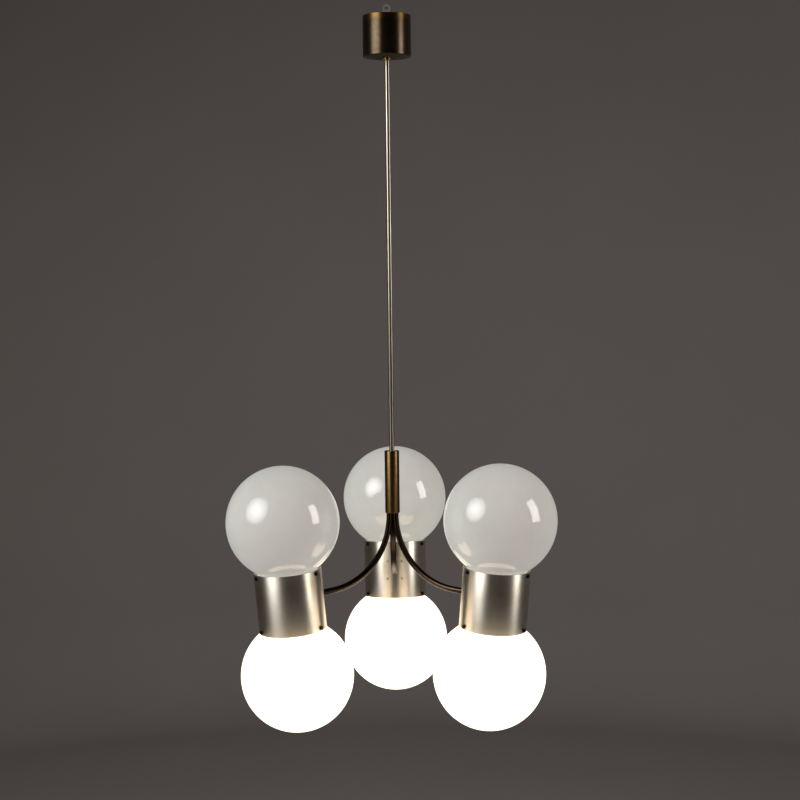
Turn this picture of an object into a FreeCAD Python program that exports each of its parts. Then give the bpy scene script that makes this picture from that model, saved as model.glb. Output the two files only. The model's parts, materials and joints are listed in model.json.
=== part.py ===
"""Pendant lamp with three bent arms, three metal cylinders and six opal glass globes.

Millimetres. The origin is the centre of the hanging eye, +Z is up, and the lamp hangs down from
there. The back unit stands on the +Y side, and the left and right units on the -Y side.
Each unit is first built in its own frame: z along the cylinder, x outwards from the stem.
"""
import FreeCAD, Part
import math
import os

from FreeCAD import Placement, Rotation, Vector

# ---------------------------------------------------------------- driving dimensions
# hanging eye, screwed on the top of the stem
EYE_HOLE_RADIUS = 3.0
EYE_RADIUS = 5.5
EYE_THICKNESS = 5.0
EYE_SHANK_LENGTH = 28.0          # from the eye's centre to the shank's lower end
EYE_THREAD_DEPTH = 8.0           # how far the stem screws into the shank
EYE_WINDOW_HEIGHT = 11.0         # side window that lets the wires out
EYE_WINDOW_HALF_WIDTH = 3.6
LOCK_NUT_FLATS = 11.0
LOCK_NUT_HEIGHT = 3.5

# canopy and the collar that holds it up on the stem
CANOPY_DIAMETER = 65.0
CANOPY_HEIGHT = 54.0
CANOPY_WALL = 1.0
CANOPY_FLOOR = 1.4
CANOPY_CORNER_RADIUS = 0.8
CANOPY_DROP = 9.6                # the canopy's upper rim below the eye's centre
CANOPY_HOLE_CLEARANCE = 0.5      # the floor's hole stands clear of the stem
COLLAR_DIAMETER = 10.5
COLLAR_HEIGHT = 5.0
COLLAR_SPIGOT_HEIGHT = 1.0       # turned step under the canopy's floor
COLLAR_RUNNING_CLEARANCE = 0.08  # radial, the collar slides on the stem
COLLAR_SCREW_DIAMETER = 2.5
COLLAR_SCREW_HEAD_DIAMETER = 3.6
COLLAR_SCREW_HEAD_HEIGHT = 1.4
COLLAR_SCREW_SLOT_WIDTH = 0.6
COLLAR_EDGE = 0.6
COLLAR_SCREW_BACKOFF = 0.35      # the tip is drawn backed off from the stem, so that it slides
COLLAR_SCREW_AZIMUTH = 205.0

# stem and hub
STEM_DIAMETER = 7.0
STEM_WALL = 0.8
STEM_VISIBLE_LENGTH = 531.0      # from the canopy's underside to the top of the hub sleeve
SLEEVE_WALL = 1.0                # round the three arms, so they set the sleeve's bore
SLEEVE_LENGTH = 85.0
SLEEVE_TOP_EDGE = 0.6            # rounding of the sleeve's upper edge
PLUG_LENGTH = 22.0
PLUG_RECESS = 0.6                # the plug's top face below the sleeve's upper edge
PLUG_SOCKET_DEPTH = 14.0         # how far the stem enters the plug
SPLICE_LENGTH = 11.0
SPLICE_GAP = 3.2                 # free space above and below the splice
SPLICE_EDGE = 1.2
SPLICE_WALL = 0.6                # round the three arm leads

# arms
ARM_DIAMETER = 8.0
ARM_WALL = 1.0
ARM_SPACING = 0.574              # between two arms inside the sleeve
ARM_BEND_RADIUS = 96.0
ARM_EXIT = 2.3                   # straight stretch between the sleeve's mouth and the bend
ARM_AZIMUTH_STEP = 120.0
BACK_AZIMUTH = 90.0

# one lighting unit: a cylinder with a globe on each end
UNIT_RADIUS = 156.5              # from the stem's axis to the cylinder's centre
UNIT_TILT = 5.0                  # degrees, the top leans outwards
TUBE_DIAMETER = 90.0
TUBE_WALL = 1.5
TUBE_LENGTH = 81.0
TUBE_EDGE = 0.3

# opal glass globe with a fitter neck
GLOBE_DIAMETER = 150.0
GLASS_THICKNESS = 2.5
NECK_DIAMETER = 80.0
NECK_LENGTH = 11.0
NECK_SHOULDER_RADIUS = 3.0
SHOULDER_SINK = 0.5              # the glass shoulder sits this far inside the cylinder's rim
LIP_PROJECTION = 1.6

# cheese-head screws that clamp the globe necks, three to a rim
RIM_SCREW_INSET = 4.2
RIM_SCREW_DIAMETER = 3.0
RIM_SCREW_HEAD_DIAMETER = 5.5
RIM_SCREW_HEAD_HEIGHT = 2.0
RIM_SCREW_EDGE = 0.4
RIM_SCREW_SLOT_WIDTH = 0.8
RIM_SCREW_SLOT_DEPTH = 0.9
RIM_SCREW_COUNT = 3
RIM_SCREW_TURN = 35.0            # each screw's slot stands this much further round

# bracket inside the cylinder, riveted to its wall around the arm
BRACKET_SHEET = 1.2
BRACKET_FLANGE_HALF_WIDTH = 13.5
BRACKET_FLANGE_HEIGHT = 32.0
CHEEK_GAP = 14.6                 # between the two cheeks, wider than the arm's nut
CHEEK_HEIGHT = 14.0
CHEEK_LENGTH = 22.0
SHELF_START = 17.0               # from the flange to the shelf's inner edge
RIVET_SPACING_ACROSS = 21.0
RIVET_SPACING_ALONG = 25.0
RIVET_DIAMETER = 2.4
RIVET_HEAD_DIAMETER = 3.6
RIVET_HEAD_HEIGHT = 0.7
ARM_NUT_FLATS = 12.0
ARM_NUT_HEIGHT = 4.5
ARM_END_PAST_NUT = 1.2

# lamp holders, back to back on a threaded nipple
NIPPLE_DIAMETER = 10.0
NIPPLE_WALL = 1.0
NIPPLE_LENGTH = 15.0
HOLDER_DIAMETER = 28.0
HOLDER_LENGTH = 36.0
HOLDER_BASE = 8.0
HOLDER_CHAMBER_RADIUS = 9.0
HOLDER_CHAMBER_HEIGHT = 6.0
HOLDER_BORE_DIAMETER = 14.2
HOLDER_BORE_DEPTH = 19.5
HOLDER_GROOVES = 3
HOLDER_GROOVE_DEPTH = 0.6
HOLDER_EDGE = 1.5

# bulbs
BULB_DIAMETER = 45.0
BULB_GLASS = 0.8
BULB_STAND = 36.5                # the ball's centre above the holder's mouth
BULB_NECK_RADIUS = 8.0
BULB_SHOULDER_RADIUS = 14.0
BULB_FOOT_DEPTH = 5.0            # the glass neck reaches this far into the cap
CAP_DIAMETER = 13.5
CAP_WALL = 0.5
CAP_SETBACK = 18.0               # the cap's contact below the holder's mouth
CAP_MOUTH_SETBACK = 0.5
CAP_CONTACT_RADIUS = 2.2
CAP_SHELL_START = 4.0            # from the contact up to the thread's full diameter
CAP_CONE_START = 2.5
CAP_CONE_STEP = 1.5
CAP_FLOOR = 5.0
CAP_GLASS_CLEARANCE = 0.02

# wires
MAIN_LEAD_CLEARANCE = 0.4        # radial, inside the stem
MAIN_TAIL_DIAMETER = 1.6
MAIN_TAIL_BEND = 5.0
MAIN_TAIL_TURNS = (-25.0, 0.0, 25.0)
ARM_LEAD_CLEARANCE = 1.0         # radial, inside the arm
ARM_TAIL_DIAMETER = 2.2
ARM_TAIL_BEND = 7.5
ARM_TAIL_ROOT = 4.0              # the tails start this far back inside the arm
ARM_TAIL_RISE_START = 6.0        # past the arm's end
ARM_TAIL_RISE_END = 8.0          # before the holder's wall
HOLDER_WIRE_HOLE_DIAMETER = 3.2

# terminal block beside the eye's shank
BLOCK_DEPTH = 12.0
BLOCK_WIDTH = 26.0
BLOCK_HEIGHT = 16.0
BLOCK_DISTANCE = 18.0            # from the stem's axis to the middle of the block
BLOCK_TOP = -20.0
BLOCK_EDGE = 1.5
CLAMP_RADIUS = 2.8
CLAMP_BORE_RADIUS = 1.6
CLAMP_INSET = 1.5                # the brass barrels end short of the block's faces
WELL_CLEARANCE = 0.4             # round the wires and the screws in the block
TERMINAL_SCREW_RADIUS = 1.5
TERMINAL_SCREW_SINK = 1.0        # the screw's head below the block's face
TERMINAL_SLOT_DEPTH = 0.8
TERMINAL_SLOT_WIDTH = 0.5
TERMINAL_SCREW_OFFSET = 4.2      # above and below the block's middle

# named clearances
THREAD_CLEARANCE = 0.05
PRESS_CLEARANCE = 0.02
ARM_HOLE_CLEARANCE = 0.1
RIVET_HOLE_CLEARANCE = 0.05
SLEEVE_ARM_CLEARANCE = 0.05
EDGE_SHARE = 0.6                 # a rounded edge takes at most this share of its wall
SAME_PLACE = 0.01                # how near two places are taken as one
CUT_MARGIN = 1.0                 # how far a cutter stands past what it cuts

# ---------------------------------------------------------------- derived sizes and places
STEM_RADIUS = STEM_DIAMETER / 2
STEM_BORE_RADIUS = STEM_RADIUS - STEM_WALL
ARM_RADIUS = ARM_DIAMETER / 2
TUBE_RADIUS = TUBE_DIAMETER / 2
TUBE_BORE_RADIUS = TUBE_RADIUS - TUBE_WALL
GLOBE_RADIUS = GLOBE_DIAMETER / 2
NECK_RADIUS = NECK_DIAMETER / 2
ARM_PITCH_RADIUS = (ARM_DIAMETER + ARM_SPACING) / math.sqrt(3)
SLEEVE_BORE_RADIUS = ARM_PITCH_RADIUS + ARM_RADIUS + SLEEVE_ARM_CLEARANCE
SLEEVE_DIAMETER = 2 * (SLEEVE_BORE_RADIUS + SLEEVE_WALL)
MAIN_LEAD_DIAMETER = 2 * (STEM_BORE_RADIUS - MAIN_LEAD_CLEARANCE)
ARM_LEAD_DIAMETER = ARM_DIAMETER - 2 * (ARM_WALL + ARM_LEAD_CLEARANCE)

STEM_TOP = -EYE_SHANK_LENGTH + EYE_THREAD_DEPTH
CANOPY_TOP = -CANOPY_DROP
CANOPY_BOTTOM = CANOPY_TOP - CANOPY_HEIGHT
SLEEVE_TOP = CANOPY_BOTTOM - STEM_VISIBLE_LENGTH
SLEEVE_BOTTOM = SLEEVE_TOP - SLEEVE_LENGTH
PLUG_TOP = SLEEVE_TOP - PLUG_RECESS
PLUG_BOTTOM = PLUG_TOP - PLUG_LENGTH
STEM_BOTTOM = PLUG_TOP - PLUG_SOCKET_DEPTH
SPLICE_TOP = PLUG_BOTTOM - SPLICE_GAP
SPLICE_BOTTOM = SPLICE_TOP - SPLICE_LENGTH
ARM_TOP = SPLICE_BOTTOM - SPLICE_GAP

ARM_BEND = math.radians(90.0 - UNIT_TILT)
BEND_START = SLEEVE_BOTTOM - ARM_EXIT
BEND_END_RADIUS = ARM_PITCH_RADIUS + ARM_BEND_RADIUS * (1 - math.cos(ARM_BEND))
BEND_END_HEIGHT = BEND_START - ARM_BEND_RADIUS * math.sin(ARM_BEND)
BEND_TO_UNIT = (UNIT_RADIUS - BEND_END_RADIUS) / math.sin(ARM_BEND)
UNIT_HEIGHT = BEND_END_HEIGHT - BEND_TO_UNIT * math.cos(ARM_BEND)

GLOBE_STAND = TUBE_LENGTH / 2 - SHOULDER_SINK + math.sqrt(GLOBE_RADIUS ** 2 - NECK_RADIUS ** 2)
FLANGE_RADIUS = TUBE_BORE_RADIUS - BRACKET_SHEET
ARM_NUT_SEAT = -math.sqrt(FLANGE_RADIUS ** 2 - (ARM_NUT_FLATS / 2) ** 2)
ARM_END = ARM_NUT_SEAT + ARM_NUT_HEIGHT + ARM_END_PAST_NUT
HOLDER_FOOT = BRACKET_SHEET / 2
HOLDER_MOUTH = HOLDER_FOOT + HOLDER_LENGTH
WIRE_HOLE_HEIGHT = HOLDER_FOOT + HOLDER_BASE + HOLDER_CHAMBER_HEIGHT / 2

X_AXIS = Vector(1, 0, 0)
Y_AXIS = Vector(0, 1, 0)
Z_AXIS = Vector(0, 0, 1)
ORIGIN = Vector(0, 0, 0)


# ---------------------------------------------------------------- shape helpers
def disc(radius, height, bottom=0.0):
    """A solid cylinder on the z axis."""
    return Part.makeCylinder(radius, height, Vector(0, 0, bottom), Z_AXIS)


def ring(outer, inner, height, bottom=0.0):
    """A cylinder on the z axis with a bore right through it."""
    return disc(outer, height, bottom).cut(disc(inner, height + 2 * CUT_MARGIN,
                                                bottom - CUT_MARGIN))


def hexagon(flats, bore, height, bottom=0.0):
    """A hexagon nut on the z axis."""
    corner = flats / 2 / math.cos(math.radians(30))
    points = []
    for index in range(7):  # the seventh point closes the outline
        angle = math.radians(60 * index)
        points.append(Vector(corner * math.cos(angle), corner * math.sin(angle), bottom))
    face = Part.Face(Part.makePolygon(points))
    return face.extrude(Vector(0, 0, height)).cut(disc(bore, height + 2 * CUT_MARGIN,
                                                       bottom - CUT_MARGIN))


def turned(outline):
    """Revolve a closed outline about the z axis.

    The outline is a list of (radius, height) points. A pair of points in place of one point is
    an arc: its middle point and its end.
    """
    def spot(pair):
        return Vector(pair[0], 0, pair[1])

    edges = []
    here = spot(outline[0])
    for step in outline[1:] + [outline[0]]:
        if isinstance(step[0], tuple):
            edges.append(Part.Arc(here, spot(step[0]), spot(step[1])).toShape())
            here = spot(step[1])
        else:
            edges.append(Part.LineSegment(here, spot(step)).toShape())
            here = spot(step)
    return Part.Face(Part.Wire(edges)).revolve(ORIGIN, Z_AXIS, 360)


def bent_rod(points, bend_radius, radius):
    """A round rod along straight runs that are joined by tangent arcs of one radius."""
    edges = []
    here = points[0]
    for index in range(1, len(points) - 1):
        corner = points[index]
        back = (points[index - 1] - corner).normalize()
        ahead = (points[index + 1] - corner).normalize()
        half_turn = (math.pi - back.getAngle(ahead)) / 2
        setback = bend_radius * math.tan(half_turn)
        start = corner + back * setback
        end = corner + ahead * setback
        inward = (back + ahead).normalize()
        middle = corner + inward * (bend_radius / math.cos(half_turn) - bend_radius)
        edges.append(Part.LineSegment(here, start).toShape())
        edges.append(Part.Arc(start, middle, end).toShape())
        here = end
    edges.append(Part.LineSegment(here, points[-1]).toShape())
    path = Part.Wire(edges)
    first_run = (points[1] - points[0]).normalize()
    circle = Part.Wire(Part.Circle(points[0], first_run, radius).toShape())
    rod = path.makePipeShell([circle], True, True)
    expected = math.pi * radius ** 2 * path.Length
    print("bent rod: length %.1f, bend radius %.1f, volume ratio %.4f"
          % (path.Length, bend_radius, rod.Volume / expected))
    return rod


def flipped(shape):
    """A copy turned over, so that what pointed up the cylinder points down it."""
    copy = shape.copy()
    copy.rotate(ORIGIN, X_AXIS, 180)
    return copy


def tilted_to_unit(shape):
    """Move a shape from the cylinder's own frame to the unit's place on the +X side."""
    copy = shape.copy()
    place = Placement(Vector(UNIT_RADIUS, 0, UNIT_HEIGHT), Rotation(Y_AXIS, UNIT_TILT))
    copy.Placement = place.multiply(shape.Placement)
    return copy


def turned_about_stem(shape, azimuth):
    """Turn a shape that was built on the +X side to its azimuth."""
    copy = shape.copy()
    copy.rotate(ORIGIN, Z_AXIS, azimuth)
    return copy


def compound(solids):
    """A group of separate solids in one node."""
    return Part.makeCompound(solids)


# ---------------------------------------------------------------- suspension and stem
def hanging_eye():
    """Turned shank with a flattened eye on top, and a side window for the wires."""
    shank = disc(EYE_RADIUS, EYE_SHANK_LENGTH, -EYE_SHANK_LENGTH)
    rounding = Part.makeCylinder(EYE_RADIUS, EYE_THICKNESS, Vector(0, -EYE_THICKNESS / 2, 0),
                                 Y_AXIS)
    below = Part.makeBox(2 * EYE_RADIUS, EYE_THICKNESS, EYE_RADIUS,
                         Vector(-EYE_RADIUS, -EYE_THICKNESS / 2, -EYE_RADIUS))
    eye = rounding.fuse(below)
    body = shank.cut(Part.makeBox(4 * EYE_RADIUS, 4 * EYE_RADIUS, EYE_RADIUS,
                                  Vector(-2 * EYE_RADIUS, -2 * EYE_RADIUS, -EYE_RADIUS)))
    body = body.fuse(eye.common(disc(EYE_RADIUS, 4 * EYE_RADIUS, -2 * EYE_RADIUS)))
    body = body.cut(Part.makeCylinder(EYE_HOLE_RADIUS, 2 * EYE_THICKNESS,
                                      Vector(0, -EYE_THICKNESS, 0), Y_AXIS))
    body = body.cut(disc(STEM_RADIUS + THREAD_CLEARANCE, EYE_THREAD_DEPTH, -EYE_SHANK_LENGTH))
    body = body.cut(disc(EYE_WINDOW_HALF_WIDTH, EYE_WINDOW_HEIGHT, STEM_TOP))
    window = Part.makeBox(2 * EYE_RADIUS, 2 * EYE_WINDOW_HALF_WIDTH, EYE_WINDOW_HEIGHT,
                          Vector(0, -EYE_WINDOW_HALF_WIDTH, STEM_TOP))
    return body.cut(window).removeSplitter()


def eye_lock_nut():
    """Nut on the stem that locks the eye's shank."""
    bottom = -EYE_SHANK_LENGTH - LOCK_NUT_HEIGHT
    return hexagon(LOCK_NUT_FLATS, STEM_RADIUS + THREAD_CLEARANCE, LOCK_NUT_HEIGHT, bottom)


def stem_tube():
    """Thin straight tube from the eye down into the hub plug."""
    return ring(STEM_RADIUS, STEM_BORE_RADIUS, STEM_TOP - STEM_BOTTOM, STEM_BOTTOM)


def canopy():
    """Spun cup, open at the top, with a clearance hole for the stem in its floor."""
    outer = CANOPY_DIAMETER / 2
    inner = outer - CANOPY_WALL
    hole = STEM_RADIUS + CANOPY_HOLE_CLEARANCE
    corner = CANOPY_CORNER_RADIUS
    diagonal = corner * (1 - math.sqrt(0.5))
    floor_top = CANOPY_BOTTOM + CANOPY_FLOOR
    return turned([
        (hole, CANOPY_BOTTOM),
        (outer - corner, CANOPY_BOTTOM),
        ((outer - diagonal, CANOPY_BOTTOM + diagonal), (outer, CANOPY_BOTTOM + corner)),
        (outer, CANOPY_TOP),
        (inner, CANOPY_TOP),
        (inner, floor_top),
        (hole, floor_top),
    ])


def canopy_collar():
    """Stop collar under the canopy's floor, bored to slide on the stem."""
    outer = COLLAR_DIAMETER / 2
    bore = STEM_RADIUS + COLLAR_RUNNING_CLEARANCE
    bottom = CANOPY_BOTTOM - COLLAR_HEIGHT
    step = outer - COLLAR_EDGE
    body = turned([
        (bore, bottom),
        (step, bottom),
        (outer, bottom + COLLAR_EDGE),
        (outer, CANOPY_BOTTOM - COLLAR_SPIGOT_HEIGHT),
        (step, CANOPY_BOTTOM - COLLAR_SPIGOT_HEIGHT),
        (step, CANOPY_BOTTOM),
        (bore, CANOPY_BOTTOM),
    ])
    return body.cut(collar_screw_shape(COLLAR_SCREW_DIAMETER / 2 + THREAD_CLEARANCE, False))


def collar_screw_shape(radius, with_head):
    """The collar's small screw, or the plain cylinder that its hole is cut with."""
    middle = CANOPY_BOTTOM - (COLLAR_HEIGHT + COLLAR_SPIGOT_HEIGHT) / 2
    outer = COLLAR_DIAMETER / 2
    tip = STEM_RADIUS + COLLAR_SCREW_BACKOFF if with_head else 0.0
    beyond = 0.0 if with_head else CUT_MARGIN
    screw = Part.makeCylinder(radius, outer - tip + beyond, Vector(tip, 0, middle), X_AXIS)
    if with_head:
        head = Part.makeCylinder(COLLAR_SCREW_HEAD_DIAMETER / 2, COLLAR_SCREW_HEAD_HEIGHT,
                                 Vector(outer, 0, middle), X_AXIS)
        slot = Part.makeBox(COLLAR_SCREW_HEAD_HEIGHT, COLLAR_SCREW_SLOT_WIDTH,
                            COLLAR_SCREW_HEAD_DIAMETER,
                            Vector(outer + COLLAR_SCREW_HEAD_HEIGHT / 2,
                                   -COLLAR_SCREW_SLOT_WIDTH / 2,
                                   middle - COLLAR_SCREW_HEAD_DIAMETER / 2))
        screw = screw.fuse(head).cut(slot)
    screw.rotate(ORIGIN, Z_AXIS, COLLAR_SCREW_AZIMUTH)
    return screw


# ---------------------------------------------------------------- wiring in the canopy
def block_poles():
    """The y places of the terminal block's three poles."""
    run = BLOCK_DISTANCE
    return [run * math.tan(math.radians(turn)) for turn in MAIN_TAIL_TURNS]


def terminal_block():
    """Insulating block with three bores for its brass barrels and six screw wells."""
    low = Vector(BLOCK_DISTANCE - BLOCK_DEPTH / 2, -BLOCK_WIDTH / 2, BLOCK_TOP - BLOCK_HEIGHT)
    block = Part.makeBox(BLOCK_DEPTH, BLOCK_WIDTH, BLOCK_HEIGHT, low)
    upright = [edge for edge in block.Edges if abs(edge.tangentAt(edge.FirstParameter).z) > 0.9]
    block = block.makeFillet(BLOCK_EDGE, upright)
    for pole in block_poles():
        foot = Vector(BLOCK_DISTANCE, pole, BLOCK_TOP - BLOCK_HEIGHT)
        block = block.cut(Part.makeCylinder(CLAMP_BORE_RADIUS + WELL_CLEARANCE, BLOCK_HEIGHT,
                                            foot, Z_AXIS))
        barrel = BLOCK_HEIGHT - 2 * CLAMP_INSET
        block = block.cut(Part.makeCylinder(CLAMP_RADIUS + PRESS_CLEARANCE, barrel,
                                            foot + Vector(0, 0, CLAMP_INSET), Z_AXIS))
        for height in terminal_screw_heights():
            well = Vector(BLOCK_DISTANCE, pole, height)
            block = block.cut(Part.makeCylinder(TERMINAL_SCREW_RADIUS + WELL_CLEARANCE,
                                                BLOCK_DEPTH, well, X_AXIS))
    return block


def terminal_screw_heights():
    """The two screw levels of every pole."""
    middle = BLOCK_TOP - BLOCK_HEIGHT / 2
    return [middle - TERMINAL_SCREW_OFFSET, middle + TERMINAL_SCREW_OFFSET]


def terminal_clamps():
    """Three brass barrels with a wire bore and two tapped cross holes each."""
    barrels = []
    for pole in block_poles():
        foot = Vector(BLOCK_DISTANCE, pole, BLOCK_TOP - BLOCK_HEIGHT + CLAMP_INSET)
        height = BLOCK_HEIGHT - 2 * CLAMP_INSET
        barrel = Part.makeCylinder(CLAMP_RADIUS, height, foot, Z_AXIS)
        barrel = barrel.cut(Part.makeCylinder(CLAMP_BORE_RADIUS, height, foot, Z_AXIS))
        for level in terminal_screw_heights():
            hole = Vector(BLOCK_DISTANCE, pole, level)
            barrel = barrel.cut(Part.makeCylinder(TERMINAL_SCREW_RADIUS + THREAD_CLEARANCE,
                                                  CLAMP_RADIUS + CUT_MARGIN, hole, X_AXIS))
        barrels.append(barrel)
    return compound(barrels)


def terminal_screws():
    """Six slotted screws that pinch the wires in the barrels."""
    screws = []
    length = BLOCK_DEPTH / 2 - TERMINAL_SCREW_SINK - MAIN_TAIL_DIAMETER / 2
    for pole in block_poles():
        for level in terminal_screw_heights():
            tip = Vector(BLOCK_DISTANCE + MAIN_TAIL_DIAMETER / 2 + THREAD_CLEARANCE, pole, level)
            screw = Part.makeCylinder(TERMINAL_SCREW_RADIUS, length, tip, X_AXIS)
            corner = Vector(length - TERMINAL_SLOT_DEPTH, -TERMINAL_SCREW_RADIUS,
                            -TERMINAL_SLOT_WIDTH / 2)
            slot = Part.makeBox(TERMINAL_SLOT_DEPTH, 2 * TERMINAL_SCREW_RADIUS,
                                TERMINAL_SLOT_WIDTH, tip + corner)
            screws.append(screw.cut(slot))
    return compound(screws)


def main_lead():
    """Sheathed lead inside the stem, with three cores fanned out to the terminal block."""
    lead = disc(MAIN_LEAD_DIAMETER / 2, STEM_TOP - SPLICE_TOP, SPLICE_TOP)
    turn_height = STEM_TOP + EYE_WINDOW_HEIGHT / 2 + MAIN_TAIL_DIAMETER / 2
    for turn, pole in zip(MAIN_TAIL_TURNS, block_poles()):
        points = [
            Vector(0, 0, STEM_TOP - 2 * MAIN_TAIL_BEND),
            Vector(0, 0, turn_height),
            Vector(BLOCK_DISTANCE, pole, turn_height),
            Vector(BLOCK_DISTANCE, pole, BLOCK_TOP - BLOCK_HEIGHT / 2),
        ]
        lead = lead.fuse(bent_rod(points, MAIN_TAIL_BEND, MAIN_TAIL_DIAMETER / 2))
    return lead.removeSplitter()


# ---------------------------------------------------------------- hub
def hub_sleeve():
    """Plain tube that gathers the three arms, with a softened upper edge."""
    sleeve = ring(SLEEVE_DIAMETER / 2, SLEEVE_BORE_RADIUS, SLEEVE_LENGTH, SLEEVE_BOTTOM)
    rims = [edge for edge in sleeve.Edges
            if edge.Closed and abs(edge.Curve.Radius - SLEEVE_DIAMETER / 2) < SAME_PLACE]
    return sleeve.makeFillet(min(SLEEVE_TOP_EDGE, SLEEVE_WALL * EDGE_SHARE), rims)


def hub_plug():
    """Turned plug that closes the sleeve's top and takes the stem in a stepped bore."""
    outer = SLEEVE_BORE_RADIUS - PRESS_CLEARANCE
    plug = disc(outer, PLUG_LENGTH, PLUG_BOTTOM)
    socket = disc(STEM_RADIUS + THREAD_CLEARANCE, PLUG_SOCKET_DEPTH, STEM_BOTTOM)
    return plug.cut(socket).cut(disc(STEM_BORE_RADIUS, PLUG_LENGTH, PLUG_BOTTOM))


def hub_splice():
    """Insulated connector in the hub where the main lead divides into the three arm leads."""
    body = disc(ARM_PITCH_RADIUS + ARM_LEAD_DIAMETER / 2 + SPLICE_WALL, SPLICE_LENGTH,
                SPLICE_BOTTOM)
    rims = [edge for edge in body.Edges if edge.Closed]
    return body.makeFillet(min(SPLICE_EDGE, SPLICE_WALL), rims)


# ---------------------------------------------------------------- arm and its lead
def arm_route(top, end):
    """Corner points of the arm's centreline, from a height in the hub to a place in the unit.

    end is an x place in the unit's own frame.
    """
    corner_setback = ARM_BEND_RADIUS * math.tan(ARM_BEND / 2)
    corner = Vector(ARM_PITCH_RADIUS, 0, BEND_START - corner_setback)
    along = Vector(math.sin(ARM_BEND), 0, -math.cos(ARM_BEND))
    finish = Vector(UNIT_RADIUS, 0, UNIT_HEIGHT) + along * end
    return [Vector(ARM_PITCH_RADIUS, 0, top), corner, finish]


def arm():
    """Round tube: down through the sleeve, one long bend, then straight into the cylinder."""
    route = arm_route(ARM_TOP, ARM_END)
    outer = bent_rod(route, ARM_BEND_RADIUS, ARM_RADIUS)
    bore = bent_rod(route, ARM_BEND_RADIUS, ARM_RADIUS - ARM_WALL)
    return outer.cut(bore)


def arm_lead():
    """Lead inside the arm, with two tails that go to the upper and the lower lamp holder."""
    lead = bent_rod(arm_route(SPLICE_BOTTOM, ARM_END), ARM_BEND_RADIUS, ARM_LEAD_DIAMETER / 2)
    holder_side = -HOLDER_CHAMBER_RADIUS
    rise_start = ARM_END + ARM_TAIL_RISE_START
    rise_end = -HOLDER_DIAMETER / 2 - ARM_TAIL_RISE_END
    for side in (1, -1):
        points = [
            Vector(ARM_END - ARM_TAIL_ROOT, 0, 0),
            Vector(rise_start, 0, 0),
            Vector(rise_end, 0, side * WIRE_HOLE_HEIGHT),
            Vector(holder_side, 0, side * WIRE_HOLE_HEIGHT),
        ]
        tail = bent_rod(points, ARM_TAIL_BEND, ARM_TAIL_DIAMETER / 2)
        lead = lead.fuse(tilted_to_unit(tail))
    return lead.removeSplitter()


# ---------------------------------------------------------------- unit pieces, in the unit's frame
def radial_hole(radius, azimuth, height):
    """A cutter through one side of the cylinder's wall."""
    hole = Part.makeCylinder(radius, 3 * TUBE_WALL + 2 * BRACKET_SHEET,
                             Vector(TUBE_BORE_RADIUS - 2 * BRACKET_SHEET, 0, height), X_AXIS)
    hole.rotate(ORIGIN, Z_AXIS, azimuth)
    return hole


def rim_screw_azimuths():
    """Outwards, and a third of a turn to each side."""
    return [360.0 / RIM_SCREW_COUNT * index for index in range(RIM_SCREW_COUNT)]


def rim_screw_heights():
    """One level of screws near each rim."""
    level = TUBE_LENGTH / 2 - RIM_SCREW_INSET
    return [level, -level]


def rivet_places():
    """Azimuth and height of the four rivets around the arm."""
    swing = math.degrees(math.asin(RIVET_SPACING_ACROSS / 2 / TUBE_RADIUS))
    level = RIVET_SPACING_ALONG / 2
    return [(180 + turn, height) for turn in (-swing, swing) for height in (-level, level)]


def lamp_tube():
    """Aluminium cylinder with holes for the arm, the rivets and the globe screws."""
    half = TUBE_LENGTH / 2
    edge = TUBE_EDGE
    tube = turned([
        (TUBE_BORE_RADIUS, -half),
        (TUBE_RADIUS - edge, -half),
        (TUBE_RADIUS, -half + edge),
        (TUBE_RADIUS, half - edge),
        (TUBE_RADIUS - edge, half),
        (TUBE_BORE_RADIUS, half),
    ])
    for azimuth in rim_screw_azimuths():
        for height in rim_screw_heights():
            tube = tube.cut(radial_hole(RIM_SCREW_DIAMETER / 2 + THREAD_CLEARANCE, azimuth, height))
    for azimuth, height in rivet_places():
        tube = tube.cut(radial_hole(RIVET_DIAMETER / 2 + RIVET_HOLE_CLEARANCE, azimuth, height))
    return tube.cut(radial_hole(ARM_RADIUS + ARM_HOLE_CLEARANCE, 180, 0))


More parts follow.
